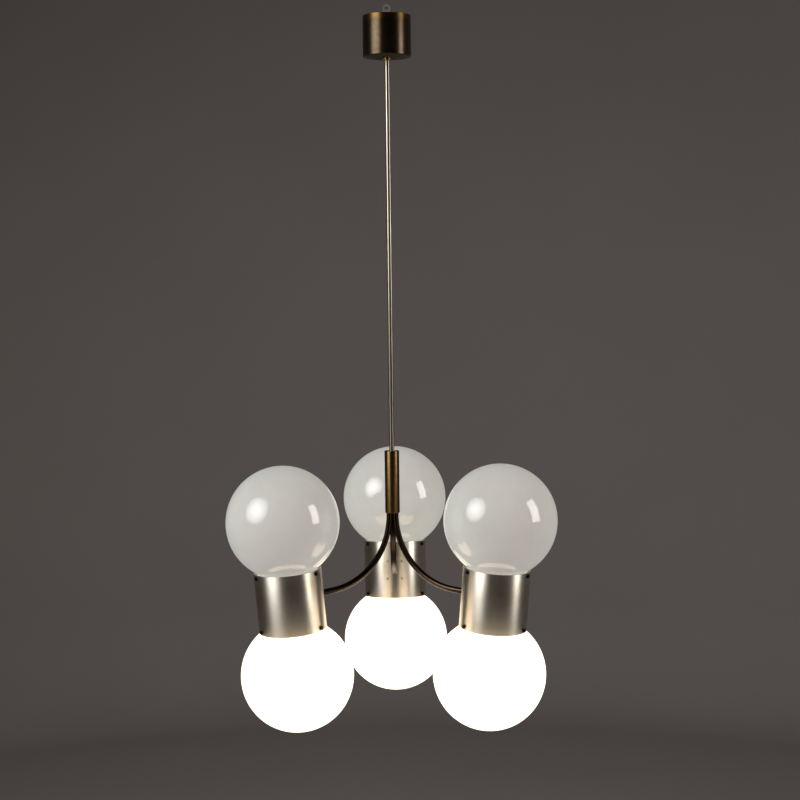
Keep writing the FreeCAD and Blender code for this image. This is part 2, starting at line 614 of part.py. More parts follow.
def bracket():
    """Pressed steel: a curved flange on the wall, two cheeks and a shelf for the holders."""
    flange = ring(TUBE_BORE_RADIUS, FLANGE_RADIUS, BRACKET_FLANGE_HEIGHT,
                  -BRACKET_FLANGE_HEIGHT / 2)
    window = Part.makeBox(TUBE_RADIUS, 2 * BRACKET_FLANGE_HALF_WIDTH, BRACKET_FLANGE_HEIGHT,
                          Vector(-TUBE_RADIUS, -BRACKET_FLANGE_HALF_WIDTH,
                                 -BRACKET_FLANGE_HEIGHT / 2))
    body = flange.common(window)
    root = -FLANGE_RADIUS - BRACKET_SHEET / 2
    wall = disc(TUBE_BORE_RADIUS - BRACKET_SHEET / 2, CHEEK_HEIGHT, -CHEEK_HEIGHT / 2)
    for side in (CHEEK_GAP / 2, -CHEEK_GAP / 2 - BRACKET_SHEET):
        cheek = Part.makeBox(CHEEK_LENGTH, BRACKET_SHEET, CHEEK_HEIGHT,
                             Vector(root, side, -CHEEK_HEIGHT / 2))
        body = body.fuse(cheek.common(wall))
    shelf_edge = -FLANGE_RADIUS + SHELF_START
    half_width = CHEEK_GAP / 2 + BRACKET_SHEET
    shelf = Part.makeBox(-shelf_edge, 2 * half_width, BRACKET_SHEET,
                         Vector(shelf_edge, -half_width, -BRACKET_SHEET / 2))
    pad = disc(HOLDER_DIAMETER / 2, BRACKET_SHEET, -BRACKET_SHEET / 2)
    body = body.fuse(shelf).fuse(pad)
    body = body.cut(disc(NIPPLE_DIAMETER / 2 + THREAD_CLEARANCE, 4 * BRACKET_SHEET,
                         -2 * BRACKET_SHEET))
    body = body.cut(radial_hole(ARM_RADIUS + ARM_HOLE_CLEARANCE, 180, 0))
    for azimuth, height in rivet_places():
        body = body.cut(radial_hole(RIVET_DIAMETER / 2 + RIVET_HOLE_CLEARANCE, azimuth, height))
    return body.removeSplitter()


def rivet():
    """One rivet on the x axis: a domed head outside the wall and a flat tail inside it."""
    inside = FLANGE_RADIUS - RIVET_HEAD_HEIGHT
    shank = Part.makeCylinder(RIVET_DIAMETER / 2, TUBE_RADIUS - inside, Vector(inside, 0, 0), X_AXIS)
    tail = Part.makeCylinder(RIVET_HEAD_DIAMETER / 2, RIVET_HEAD_HEIGHT, Vector(inside, 0, 0),
                             X_AXIS)
    tail = tail.cut(ring(TUBE_RADIUS, FLANGE_RADIUS, RIVET_HEAD_DIAMETER * 2, -RIVET_HEAD_DIAMETER))
    half = RIVET_HEAD_DIAMETER / 2
    dome_radius = (half ** 2 + RIVET_HEAD_HEIGHT ** 2) / (2 * RIVET_HEAD_HEIGHT)
    dome = Part.makeSphere(dome_radius, Vector(TUBE_RADIUS + RIVET_HEAD_HEIGHT - dome_radius, 0, 0))
    beyond = Part.makeCylinder(half, RIVET_HEAD_HEIGHT + 2 * CUT_MARGIN,
                               Vector(TUBE_RADIUS - CUT_MARGIN, 0, 0), X_AXIS)
    head = dome.common(beyond).cut(disc(TUBE_RADIUS, 4 * half, -2 * half))
    return shank.fuse(tail).fuse(head).removeSplitter()


def rivets():
    """The four rivets of one unit."""
    group = []
    for azimuth, height in rivet_places():
        piece = rivet()
        piece.translate(Vector(0, 0, height))
        piece.rotate(ORIGIN, Z_AXIS, azimuth)
        group.append(piece)
    return compound(group)


def arm_nut():
    """Nut on the threaded end of the arm, inside the bracket's flange."""
    nut = hexagon(ARM_NUT_FLATS, ARM_RADIUS + THREAD_CLEARANCE, ARM_NUT_HEIGHT)
    nut.rotate(ORIGIN, Y_AXIS, 90)
    nut.translate(Vector(ARM_NUT_SEAT, 0, 0))
    return nut


def rim_screw():
    """One slotted cheese-head screw on the x axis; its tip bears on the globe's neck."""
    shank = Part.makeCylinder(RIM_SCREW_DIAMETER / 2, TUBE_RADIUS - NECK_RADIUS,
                              Vector(NECK_RADIUS, 0, 0), X_AXIS)
    head = Part.makeCylinder(RIM_SCREW_HEAD_DIAMETER / 2, RIM_SCREW_HEAD_HEIGHT,
                             Vector(TUBE_RADIUS, 0, 0), X_AXIS)
    rim = [edge for edge in head.Edges if edge.Closed
           and abs(edge.CenterOfMass.x - TUBE_RADIUS - RIM_SCREW_HEAD_HEIGHT) < SAME_PLACE]
    head = head.makeFillet(RIM_SCREW_EDGE, rim)
    slot = Part.makeBox(RIM_SCREW_SLOT_DEPTH, RIM_SCREW_SLOT_WIDTH, RIM_SCREW_HEAD_DIAMETER,
                        Vector(TUBE_RADIUS + RIM_SCREW_HEAD_HEIGHT - RIM_SCREW_SLOT_DEPTH,
                               -RIM_SCREW_SLOT_WIDTH / 2, -RIM_SCREW_HEAD_DIAMETER / 2))
    return shank.fuse(head).cut(slot).removeSplitter()


def globe_screws():
    """The six globe screws of one unit."""
    group = []
    for index, azimuth in enumerate(rim_screw_azimuths()):
        for height in rim_screw_heights():
            piece = rim_screw()
            piece.rotate(ORIGIN, X_AXIS, RIM_SCREW_TURN * index + height)
            piece.translate(Vector(0, 0, height))
            piece.rotate(ORIGIN, Z_AXIS, azimuth)
            group.append(piece)
    return compound(group)


def nipple():
    """Threaded tube through the shelf that both lamp holders screw on to."""
    outer = NIPPLE_DIAMETER / 2
    return ring(outer, outer - NIPPLE_WALL, NIPPLE_LENGTH, -NIPPLE_LENGTH / 2)


def lamp_holder():
    """Moulded holder: threaded foot, wire chamber, lamp thread and grip grooves outside."""
    outer = HOLDER_DIAMETER / 2
    foot = HOLDER_FOOT
    body = disc(outer, HOLDER_LENGTH, foot)
    mouth_rim = [edge for edge in body.Edges
                 if edge.Closed and abs(edge.CenterOfMass.z - HOLDER_MOUTH) < SAME_PLACE]
    body = body.makeFillet(HOLDER_EDGE, mouth_rim)
    body = body.cut(disc(NIPPLE_DIAMETER / 2 + THREAD_CLEARANCE, HOLDER_BASE, foot))
    body = body.cut(disc(HOLDER_CHAMBER_RADIUS, HOLDER_CHAMBER_HEIGHT, foot + HOLDER_BASE))
    body = body.cut(disc(HOLDER_BORE_DIAMETER / 2, HOLDER_BORE_DEPTH,
                         HOLDER_MOUTH - HOLDER_BORE_DEPTH))
    pitch = (HOLDER_BORE_DEPTH - HOLDER_EDGE) / (HOLDER_GROOVES + 1)
    for index in range(HOLDER_GROOVES):
        level = HOLDER_MOUTH - HOLDER_EDGE - pitch * (index + 1)
        body = body.cut(ring(outer + CUT_MARGIN, outer - HOLDER_GROOVE_DEPTH, pitch / 2, level))
    wire_hole = Part.makeCylinder(HOLDER_WIRE_HOLE_DIAMETER / 2, outer,
                                  Vector(-outer - CUT_MARGIN, 0, WIRE_HOLE_HEIGHT), X_AXIS)
    return body.cut(wire_hole)


def bulb():
    """Ball-shaped glass envelope, open at the neck that sits in the cap."""
    return necked_ball(BULB_DIAMETER / 2, BULB_NECK_RADIUS, BULB_SHOULDER_RADIUS, BULB_GLASS,
                       HOLDER_MOUTH + BULB_STAND,
                       [(CAP_DIAMETER / 2 - CAP_WALL, HOLDER_MOUTH),
                        (CAP_DIAMETER / 2 - CAP_WALL, HOLDER_MOUTH - BULB_FOOT_DEPTH)])


def bulb_cap():
    """Threaded metal cap of the bulb, closed at its contact end."""
    outer = CAP_DIAMETER / 2
    bottom = HOLDER_MOUTH - CAP_SETBACK
    mouth = HOLDER_MOUTH - CAP_MOUTH_SETBACK
    bore = outer - CAP_WALL + CAP_GLASS_CLEARANCE
    return turned([
        (0, bottom),
        (CAP_CONTACT_RADIUS, bottom),
        (outer - CAP_CONE_STEP, bottom + CAP_CONE_START),
        (outer, bottom + CAP_SHELL_START),
        (outer, mouth),
        (bore, mouth),
        (bore, bottom + CAP_FLOOR),
        (0, bottom + CAP_FLOOR),
    ])


def necked_ball(ball, neck, shoulder, wall, centre, foot):
    """A hollow ball with an open neck below it.

    The outline runs up the outside of the neck, round the shoulder and over the ball, then back
    down the inside at the wall's thickness. foot gives the neck's outer points below the
    shoulder, from top to bottom.
    """
    reach = ball + shoulder
    side = neck + shoulder
    drop = -math.sqrt(reach ** 2 - side ** 2)

    def on_shoulder(radius, angle):
        return (side + radius * math.cos(angle), centre + drop + radius * math.sin(angle))

    def on_ball(radius, angle):
        return (radius * math.cos(angle), centre + radius * math.sin(angle))

    join = math.atan2(-drop, -side)
    ball_start = math.atan2(drop, side)
    ball_middle = (ball_start + math.pi / 2) / 2
    shoulder_middle = (join + math.pi) / 2
    outside = [on_shoulder(shoulder, math.pi),
               (on_shoulder(shoulder, shoulder_middle), on_shoulder(shoulder, join)),
               (on_ball(ball, ball_middle), on_ball(ball, math.pi / 2))]
    inner_ball = ball - wall
    inner_shoulder = shoulder + wall
    inside = [on_ball(inner_ball, math.pi / 2),
              (on_ball(inner_ball, ball_middle), on_ball(inner_ball, ball_start)),
              (on_shoulder(inner_shoulder, shoulder_middle), on_shoulder(inner_shoulder, math.pi))]
    inner_foot = [(radius - wall, height) for radius, height in foot]
    return turned(outside + inside + inner_foot + foot[::-1])


def globe():
    """Opal glass globe: ball, rounded shoulder, fitter neck and a bead round the neck's end."""
    shoulder_level = GLOBE_STAND - math.sqrt((GLOBE_RADIUS + NECK_SHOULDER_RADIUS) ** 2
                                             - (NECK_RADIUS + NECK_SHOULDER_RADIUS) ** 2)
    neck_end = TUBE_LENGTH / 2 - SHOULDER_SINK - NECK_LENGTH
    glass = necked_ball(GLOBE_RADIUS, NECK_RADIUS, NECK_SHOULDER_RADIUS, GLASS_THICKNESS,
                        GLOBE_STAND, [(NECK_RADIUS, shoulder_level - NECK_SHOULDER_RADIUS),
                                      (NECK_RADIUS, neck_end)])
    bead = Part.makeTorus(NECK_RADIUS, LIP_PROJECTION, Vector(0, 0, neck_end + LIP_PROJECTION),
                          Z_AXIS)
    bore = disc(NECK_RADIUS - GLASS_THICKNESS / 2, 4 * LIP_PROJECTION, neck_end - LIP_PROJECTION)
    return glass.fuse(bead.cut(bore)).removeSplitter()


# ---------------------------------------------------------------- the whole lamp
def centre_pieces():
    """Everything on the stem's axis."""
    return {
        "hanging_eye": hanging_eye(),
        "eye_lock_nut": eye_lock_nut(),
        "canopy": canopy(),
        "canopy_collar": canopy_collar(),
        "collar_screw": collar_screw_shape(COLLAR_SCREW_DIAMETER / 2, True),
        "terminal_block": terminal_block(),
        "terminal_clamps": terminal_clamps(),
        "terminal_screws": terminal_screws(),
        "main_lead": main_lead(),
        "stem_tube": stem_tube(),
        "hub_sleeve": hub_sleeve(),
        "hub_plug": hub_plug(),
        "hub_splice": hub_splice(),
    }


def unit_pieces():
    """One arm and its lighting unit on the +X side."""
    holder = lamp_holder()
    glass = globe()
    envelope = bulb()
    cap = bulb_cap()
    in_unit = {
        "tube": lamp_tube(),
        "bracket": bracket(),
        "rivets": rivets(),
        "arm_nut": arm_nut(),
        "nipple": nipple(),
        "globe_screws": globe_screws(),
        "upper_holder": holder,
        "lower_holder": flipped(holder),
        "upper_bulb": envelope,
        "lower_bulb": flipped(envelope),
        "bulb_caps": compound([cap, flipped(cap)]),
        "upper_globe": glass,
        "lower_globe": flipped(glass),
    }
    pieces = {name: tilted_to_unit(shape) for name, shape in in_unit.items()}
    pieces["arm"] = arm()
    pieces["arm_lead"] = arm_lead()
    return pieces


def main():
    """Build every piece and write one STEP file for each."""
    os.makedirs("parts", exist_ok=True)
    nodes = centre_pieces()
    unit = unit_pieces()
    azimuths = {
        "back": BACK_AZIMUTH,
        "left": BACK_AZIMUTH + ARM_AZIMUTH_STEP,
        "right": BACK_AZIMUTH - ARM_AZIMUTH_STEP,
    }
    for side, azimuth in azimuths.items():
        for name, shape in unit.items():
            nodes[side + "_" + name] = turned_about_stem(shape, azimuth)
    for name, shape in nodes.items():
        if not shape.isValid():
            raise ValueError(name + " is not a valid shape")
        shape.exportStep("parts/" + name + ".step")
    print("%d nodes, unit centre %.2f below the sleeve" % (len(nodes), SLEEVE_BOTTOM - UNIT_HEIGHT))


main()
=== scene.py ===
"""Looks of a pendant lamp: a brass canopy and stem, three bent arms, and on each arm a brushed
aluminium cylinder with an opal glass ball on either end. The lower balls are lit.

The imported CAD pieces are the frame. The glass, the cylinders, their screws, the canopy, the stem
and the hub's sleeve are modelled again here with softer edges. All other pieces keep their CAD
shape and get a finish. Metres, +Z up, and the origin is the middle of the hanging eye.
"""

from __future__ import annotations

import json
import logging
import math
from collections.abc import Callable, Iterable
from dataclasses import dataclass, field
from enum import Enum
from typing import Any

import bpy
from mathutils import Matrix, Vector


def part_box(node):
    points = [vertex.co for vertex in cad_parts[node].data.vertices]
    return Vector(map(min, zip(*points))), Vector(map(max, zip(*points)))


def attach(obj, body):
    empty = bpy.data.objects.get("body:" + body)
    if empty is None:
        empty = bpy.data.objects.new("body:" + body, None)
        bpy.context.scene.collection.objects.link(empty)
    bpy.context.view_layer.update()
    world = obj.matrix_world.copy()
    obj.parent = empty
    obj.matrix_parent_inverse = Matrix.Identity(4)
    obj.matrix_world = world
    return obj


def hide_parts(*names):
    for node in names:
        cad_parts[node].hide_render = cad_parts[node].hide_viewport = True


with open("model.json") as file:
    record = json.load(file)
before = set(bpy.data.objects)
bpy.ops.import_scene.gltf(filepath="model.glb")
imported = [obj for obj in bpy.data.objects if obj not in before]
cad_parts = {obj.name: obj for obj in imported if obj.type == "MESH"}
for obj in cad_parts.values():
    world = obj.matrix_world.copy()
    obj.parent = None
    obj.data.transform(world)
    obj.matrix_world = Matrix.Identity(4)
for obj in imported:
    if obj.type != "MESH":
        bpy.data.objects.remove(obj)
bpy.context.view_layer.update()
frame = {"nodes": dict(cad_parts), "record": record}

MM = 0.001
SAME_PLACE = 0.01 * MM  # points nearer than this count as level with each other
FACING = 0.9  # how far a normal leans along the z axis on a face that lies flat
LOG = logging.getLogger("pendant")
Piece = bpy.types.Object
Station = tuple[float, float]


class Side(Enum):
    """The three lighting units, by where they stand around the stem."""

    BACK = "back"
    LEFT = "left"
    RIGHT = "right"


class Body(Enum):
    """The two bodies of the lamp that move against each other."""

    PENDANT = "pendant"
    CANOPY_SET = "canopy_set"


class End(Enum):
    """The two ends of a cylinder, each with its ball."""

    UPPER = "upper"
    LOWER = "lower"


# ------------------------------------------------------------------ the work table
class Bench:
    """Takes pieces up for editing, selects parts of them, and puts them down finished."""

    @staticmethod
    def clear() -> None:
        """Leave edit mode and deselect every object."""
        if bpy.context.mode != "OBJECT":
            bpy.ops.object.mode_set(mode="OBJECT")
        bpy.ops.object.select_all(action="DESELECT")

    @staticmethod
    def take(piece: Piece) -> Piece:
        """Make one piece the only selected and active one.

        Args:
            piece: The object to work on.

        Returns:
            The same object.
        """
        Bench.clear()
        piece.select_set(True)
        bpy.context.view_layer.objects.active = piece
        return piece

    @staticmethod
    def begin(name: str, add: Callable[..., Any], **settings: Any) -> Piece:
        """Add a primitive at its size and place.

        Args:
            name: The name of the new piece.
            add: The primitive's operator.
            **settings: The operator's own settings.

        Returns:
            The new object, with its place in its mesh.
        """
        Bench.clear()
        add(calc_uvs=False, **settings)
        piece = bpy.context.object
        piece.name = piece.data.name = name
        return Bench.settle(piece, Matrix.Identity(4))

    @staticmethod
    def settle(piece: Piece, place: Matrix) -> Piece:
        """Move a piece to its place and put that place into its mesh.

        Args:
            piece: The object to move.
            place: Where its own frame goes.

        Returns:
            The same object, at the origin, unturned and unscaled.
        """
        Bench.take(piece)
        piece.matrix_world = place @ piece.matrix_basis
        bpy.ops.object.transform_apply(location=True, rotation=True, scale=True)
        return piece

    @staticmethod
    def pick_faces(piece: Piece, wanted: Callable[[Vector, Vector], bool]) -> None:
        """Open a piece for editing with only the wanted faces selected.

        Args:
            piece: The object to edit.
            wanted: Says of a face's middle and normal whether it is wanted.
        """
        Bench._open(piece, "FACE")
        for face in piece.data.polygons:
            face.select = wanted(face.center, face.normal)
        bpy.ops.object.mode_set(mode="EDIT")

    @staticmethod
    def pick_edges(piece: Piece, wanted: Callable[[Vector], bool]) -> None:
        """Open a piece for editing with only the wanted edges selected.

        Args:
            piece: The object to edit.
            wanted: Says of a corner point whether it is wanted; an edge needs both its ends.
        """
        Bench._open(piece, "EDGE")
        corners = [wanted(vertex.co) for vertex in piece.data.vertices]
        for edge in piece.data.edges:
            edge.select = all(corners[index] for index in edge.vertices)
        bpy.ops.object.mode_set(mode="EDIT")

    @staticmethod
    def _open(piece: Piece, kind: str) -> None:
        """Set the select mode on a piece and leave nothing on it selected."""
        Bench.take(piece)
        bpy.ops.object.mode_set(mode="EDIT")
        bpy.ops.mesh.select_mode(type=kind)
        bpy.ops.mesh.select_all(action="DESELECT")
        bpy.ops.object.mode_set(mode="OBJECT")

    @staticmethod
    def draw_ring(start: Station, outline: Iterable[Station]) -> None:
        """Extrude the selected ring of edges along an outline round the z axis.

        Args:
            start: Radius and height of the selected ring.
            outline: Radius and height of each new ring in turn.
        """
        radius, height = start
        for next_radius, next_height in outline:
            rise = (0.0, 0.0, next_height - height)
            bpy.ops.mesh.extrude_region_move(TRANSFORM_OT_translate={"value": rise})
            share = next_radius / radius
            bpy.ops.transform.resize(value=(share, share, 1.0), center_override=(0.0, 0.0, 0.0))
            radius, height = next_radius, next_height

    @staticmethod
    def face_outwards(piece: Piece) -> None:
        """Merge a piece's doubles and turn its faces outwards.

        Args:
            piece: The object to tidy.
        """
        Bench.take(piece)
        bpy.ops.object.mode_set(mode="EDIT")
        bpy.ops.mesh.select_all(action="SELECT")
        bpy.ops.mesh.remove_doubles(threshold=SAME_PLACE / 10)
        bpy.ops.mesh.normals_make_consistent(inside=False)
        bpy.ops.object.mode_set(mode="OBJECT")

    @staticmethod
    def modify(piece: Piece, kind: str, **settings: Any) -> None:
        """Add a modifier to a piece and apply it.

        Args:
            piece: The object to change.
            kind: The modifier's type.
            **settings: The modifier's own settings.
        """
        Bench.take(piece)
        modifier = piece.modifiers.new(kind.title(), kind)
        for name, value in settings.items():
            setattr(modifier, name, value)
        bpy.ops.object.modifier_apply(modifier=modifier.name)

    @staticmethod
    def soften(piece: Piece, width: float, segments: int = 2) -> None:
        """Round the sharp edges of a piece.

        Args:
            piece: The object to change.
            width: How far the rounding reaches from an edge.
            segments: How many faces make the rounding.
        """
        Bench.modify(piece, "BEVEL", width=width, segments=segments, limit_method="ANGLE",
                     angle_limit=math.radians(50))

    @staticmethod
    def drill(piece: Piece, cutters: list[Piece]) -> None:
        """Cut holes into a piece and throw the cutters away.

        Args:
            piece: The object to drill.
            cutters: Closed solids to take out of it.
        """
        for cutter in cutters:
            Bench.modify(piece, "BOOLEAN", object=cutter, operation="DIFFERENCE", solver="EXACT")
            bpy.data.objects.remove(cutter)

    @staticmethod
    def copy(piece: Piece, name: str) -> Piece:
        """Copy a piece with a mesh of its own.

        Args:
            piece: The object to copy.
            name: The name of the copy.

        Returns:
            The new object.
        """
        twin = piece.copy()
        twin.data = piece.data.copy()
        twin.name = twin.data.name = name
        bpy.context.scene.collection.objects.link(twin)
        return twin

    @staticmethod
    def wrap(piece: Piece) -> None:
        """Lay a map round a turned piece and note each point's place in the piece's own frame.

        Args:
            piece: The object, still on the z axis.
        """
        mesh = piece.data
        wrapping = mesh.uv_layers.new(name="Wrap")
        for face in mesh.polygons:
            middle = math.atan2(face.center.y, face.center.x)
            for loop in face.loop_indices:
                spot = mesh.vertices[mesh.loops[loop].vertex_index].co
                turn = math.remainder(math.atan2(spot.y, spot.x) - middle, math.tau)
                wrapping.data[loop].uv = ((middle + turn) / math.tau, spot.z)
        places = mesh.attributes.new("own_place", "FLOAT_VECTOR", "POINT")
        for vertex, entry in zip(mesh.vertices, places.data):
            entry.vector = vertex.co

    @staticmethod
    def finish(piece: Piece, material: bpy.types.Material, smooth: float = 35.0) -> Piece:
        """Smooth a piece and give it its material.

        Args:
            piece: The object to finish.
            material: Its finish.
            smooth: Edges flatter than this many degrees are shaded smooth.

        Returns:
            The same object.
        """
        Bench.take(piece)
        bpy.ops.object.shade_smooth_by_angle(angle=math.radians(smooth))
        piece.data.materials.clear()
        piece.data.materials.append(material)
        Bench.clear()
        return piece

    @staticmethod
    def hand_over(piece: Piece, body: Body, node: str, slot: str) -> None:
        """Let a finished piece stand for its CAD node.

        Args:
            piece: The finished object.
            body: The body that it moves with.
            node: The CAD node that it replaces.
            slot: The record's material slot of that node; not used.
        """
        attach(piece, body.value)
        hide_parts(node)
        LOG.info("%s stands for %s: %d faces", piece.name, node, len(piece.data.polygons))


# ------------------------------------------------------------------ finishes
def linear(colour: str) -> tuple[float, float, float, float]:
    """Turn an sRGB colour into the linear values that a socket takes.

    Args:
        colour: Six hex digits after a hash sign.

    Returns:
        Red, green, blue and full opacity.
    """
    shares = [int(colour[start:start + 2], 16) / 255 for start in (1, 3, 5)]
    red, green, blue = (share / 12.92 if share <= 0.04045 else ((share + 0.055) / 1.055) ** 2.4
                        for share in shares)
    return red, green, blue, 1.0


def per(size_mm: float) -> float:
    """The texture scale at which one feature is this many millimetres wide."""
    return 1.0 / (size_mm * MM)


class Recipe:
    """One material while its nodes are put together."""

    def __init__(self, name: str) -> None:
        """Start a material with no nodes.

        Args:
            name: The material's name.
        """
        self.material = bpy.data.materials.new(name)
        self.material.use_nodes = True
        self.tree = self.material.node_tree
        self.tree.nodes.clear()

    def add(self, kind: str, inputs: dict[str | int, Any] | None = None,
            **settings: Any) -> bpy.types.Node:
        """Add a node with its settings and links.

        Args:
            kind: The node's type, without its common first part.
            inputs: For each named or numbered input, a value or the output that feeds it.
            **settings: The node's own settings.

        Returns:
            The new node.
        """
        node = self.tree.nodes.new("ShaderNode" + kind)
        for name, value in settings.items():
            setattr(node, name, value)
        for name, value in (inputs or {}).items():
            if isinstance(value, bpy.types.NodeSocket):
                self.tree.links.new(value, node.inputs[name])
            else:
                node.inputs[name].default_value = value
        return node

    def lathe_lines(self) -> dict[str, Any]:
        """The gloss of fine lines round a piece, which draws its glints out upright.

        Returns:
            The shader's inputs for it. The piece needs the layer that Bench.wrap makes.
        """
        tangent = self.add("Tangent", direction_type="UV_MAP", uv_map="Wrap").outputs[0]
        return {"Anisotropic": 0.85, "Anisotropic Rotation": 0.25, "Tangent": tangent}

    def done(self, surface: dict[str, Any]) -> bpy.types.Material:
        """Close the recipe with its surface.

        Args:
            surface: The inputs of the surface shader.

        Returns:
            The finished material.
        """
        shader = self.add("BsdfPrincipled", surface)
        self.add("OutputMaterial", {"Surface": shader.outputs[0]})
        return self.material


@dataclass(frozen=True)
class BrushedAluminium:
    """Rolled aluminium sheet, brushed round the cylinder.

    The fine lines run round it, so a lamp's reflection is drawn out along the cylinder as a
    bright upright band with a sharp and a soft side. Years of handling left a faint warm stain.
    """

    name: str = "BrushedAluminium"
    metal: str = "#dad5ca"
    stain: str = "#cac0aa"
    line_mm: float = 1.1  # the real lines are about 0.3 mm apart, too fine to show
    line_length_mm: float = 90.0
    scratch_mm: float = 0.5
    scratch_length_mm: float = 22.0
    stain_mm: float = 26.0
    polished: float = 0.37
    dull: float = 0.43

    def mix(self) -> bpy.types.Material:
        """Put the material together and return it."""
        recipe = Recipe(self.name)
        place = recipe.add("Attribute", attribute_name="own_place").outputs["Vector"]
        drawn = recipe.add("Mapping", {"Vector": place, "Scale": (
            per(self.line_length_mm), per(self.line_length_mm),
            per(self.line_mm))}).outputs[0]
        lines = recipe.add("TexNoise", {"Vector": drawn, "Scale": 1.0, "Detail": 5.0,
                                        "Roughness": 0.7}).outputs[0]
        hair = recipe.add("Mapping", {"Vector": place, "Scale": (
            per(self.scratch_length_mm), per(self.scratch_length_mm),
            per(self.scratch_mm))}).outputs[0]
        scratches = recipe.add("TexNoise", {"Vector": hair, "Scale": 1.0, "Detail": 2.0,
                                            "Roughness": 0.6}).outputs[0]
        brushing = recipe.add("Math", {0: lines, 1: scratches}, operation="ADD").outputs[0]
        stains = recipe.add("TexNoise", {"Vector": place, "Scale": per(self.stain_mm),
                                         "Detail": 4.0, "Roughness": 0.6}).outputs[0]
        stained = recipe.add("MapRange", {"Value": stains, "From Min": 0.48,
                                          "From Max": 0.78}).outputs[0]
        lined = recipe.add("MapRange", {"Value": brushing, "From Min": 0.7, "From Max": 1.3,
                                        "To Min": 0.0, "To Max": 0.2}).outputs[0]
        tone = recipe.add("Math", {0: stained, 1: lined}, operation="ADD",
                          use_clamp=True).outputs[0]
        colour = recipe.add("Mix", {0: tone, 6: linear(self.metal), 7: linear(self.stain)},
                            data_type="RGBA").outputs[2]
        rough = recipe.add("MapRange", {"Value": brushing, "From Min": 0.7, "From Max": 1.3,
                                        "To Min": self.polished,
                                        "To Max": self.dull}).outputs[0]
        bump = recipe.add("Bump", {"Height": brushing, "Strength": 0.07,
                                   "Distance": 0.02 * MM}).outputs[0]
        return recipe.done({"Base Color": colour, "Metallic": 1.0, "Roughness": rough,
                            "Normal": bump} | recipe.lathe_lines())


@dataclass(frozen=True)
class AgedBrass:
    """Turned or drawn brass that was once darkened and lacquered.

    The dark skin has worn through to yellow metal in streaks and along rims, and where it is
    whole it mirrors the room as a deep brown with small smudges.
    """

    name: str
    skin: str
    bare: str
    smudge: str
    wear: float = 0.1  # the share of the skin that has worn through
    streak_mm: float = 9.0
    streak_length: float = 5.0  # how many times longer than wide a streak is
    smudge_mm: float = 5.5
    grain_mm: float = 0.9  # the real tool marks are about 0.1 mm apart, too fine to show
    smooth: float = 0.3
    dull: float = 0.42
    rim_height: float | None = None  # a worn rim's height, where the piece has one
    rim_reach_mm: float = 3.0
    turned: bool = False  # fine lathe lines round the piece draw its glints out upright

    def mix(self) -> bpy.types.Material:
        """Put the material together and return it."""
        recipe = Recipe(self.name)
        place = recipe.add("TexCoord").outputs["Object"]
        drawn = recipe.add("Mapping", {"Vector": place, "Scale": (
            1.0, 1.0, 1.0 / self.streak_length)}).outputs[0]
        streaks = recipe.add("TexNoise", {"Vector": drawn, "Scale": per(self.streak_mm),
                                          "Detail": 6.0, "Roughness": 0.62}).outputs[0]
        # streaks above this level have worn through; the noise seldom passes 0.7
        edge = 0.72 - 0.3 * self.wear
        worn = recipe.add("MapRange", {"Value": streaks, "From Min": edge - 0.05,
                                       "From Max": edge + 0.1}).outputs[0]
        if self.rim_height is not None:
            height = recipe.add("SeparateXYZ", {"Vector": place}).outputs["Z"]
            near = recipe.add("MapRange", {
                "Value": height, "From Min": self.rim_height - self.rim_reach_mm * MM,
                "From Max": self.rim_height, "To Min": 0.0, "To Max": 0.9}).outputs[0]
            patchy = recipe.add("Math", {0: near, 1: streaks}, operation="MULTIPLY").outputs[0]
            opened = recipe.add("MapRange", {"Value": patchy, "From Min": 0.22,
                                             "From Max": 0.42}).outputs[0]
            worn = recipe.add("Math", {0: worn, 1: opened}, operation="MAXIMUM").outputs[0]
        smudges = recipe.add("TexNoise", {"Vector": place, "Scale": per(self.smudge_mm),
                                          "Detail": 5.0,
                                          "Roughness": 0.7}).outputs[0]
        smudged = recipe.add("MapRange", {"Value": smudges, "From Min": 0.4,
                                          "From Max": 0.72}).outputs[0]
        tarnish = recipe.add("Mix", {0: smudged, 6: linear(self.skin), 7: linear(self.smudge)},
                             data_type="RGBA").outputs[2]
        colour = recipe.add("Mix", {0: worn, 6: tarnish, 7: linear(self.bare)},
                            data_type="RGBA").outputs[2]
        rough = recipe.add("MapRange", {"Value": smudges, "From Min": 0.3, "From Max": 0.75,
                                        "To Min": self.smooth, "To Max": self.dull}).outputs[0]
        grain = recipe.add("TexNoise", {"Vector": drawn, "Scale": per(self.grain_mm),
                                        "Detail": 3.0}).outputs[0]
        bump = recipe.add("Bump", {"Height": grain, "Strength": 0.05,
                                   "Distance": 0.02 * MM}).outputs[0]
        surface = {"Base Color": colour, "Metallic": 1.0, "Roughness": rough,
                   "Coat Weight": 0.08, "Coat Roughness": 0.2, "Normal": bump}
        if self.turned:
            surface |= recipe.lathe_lines()
        return recipe.done(surface)


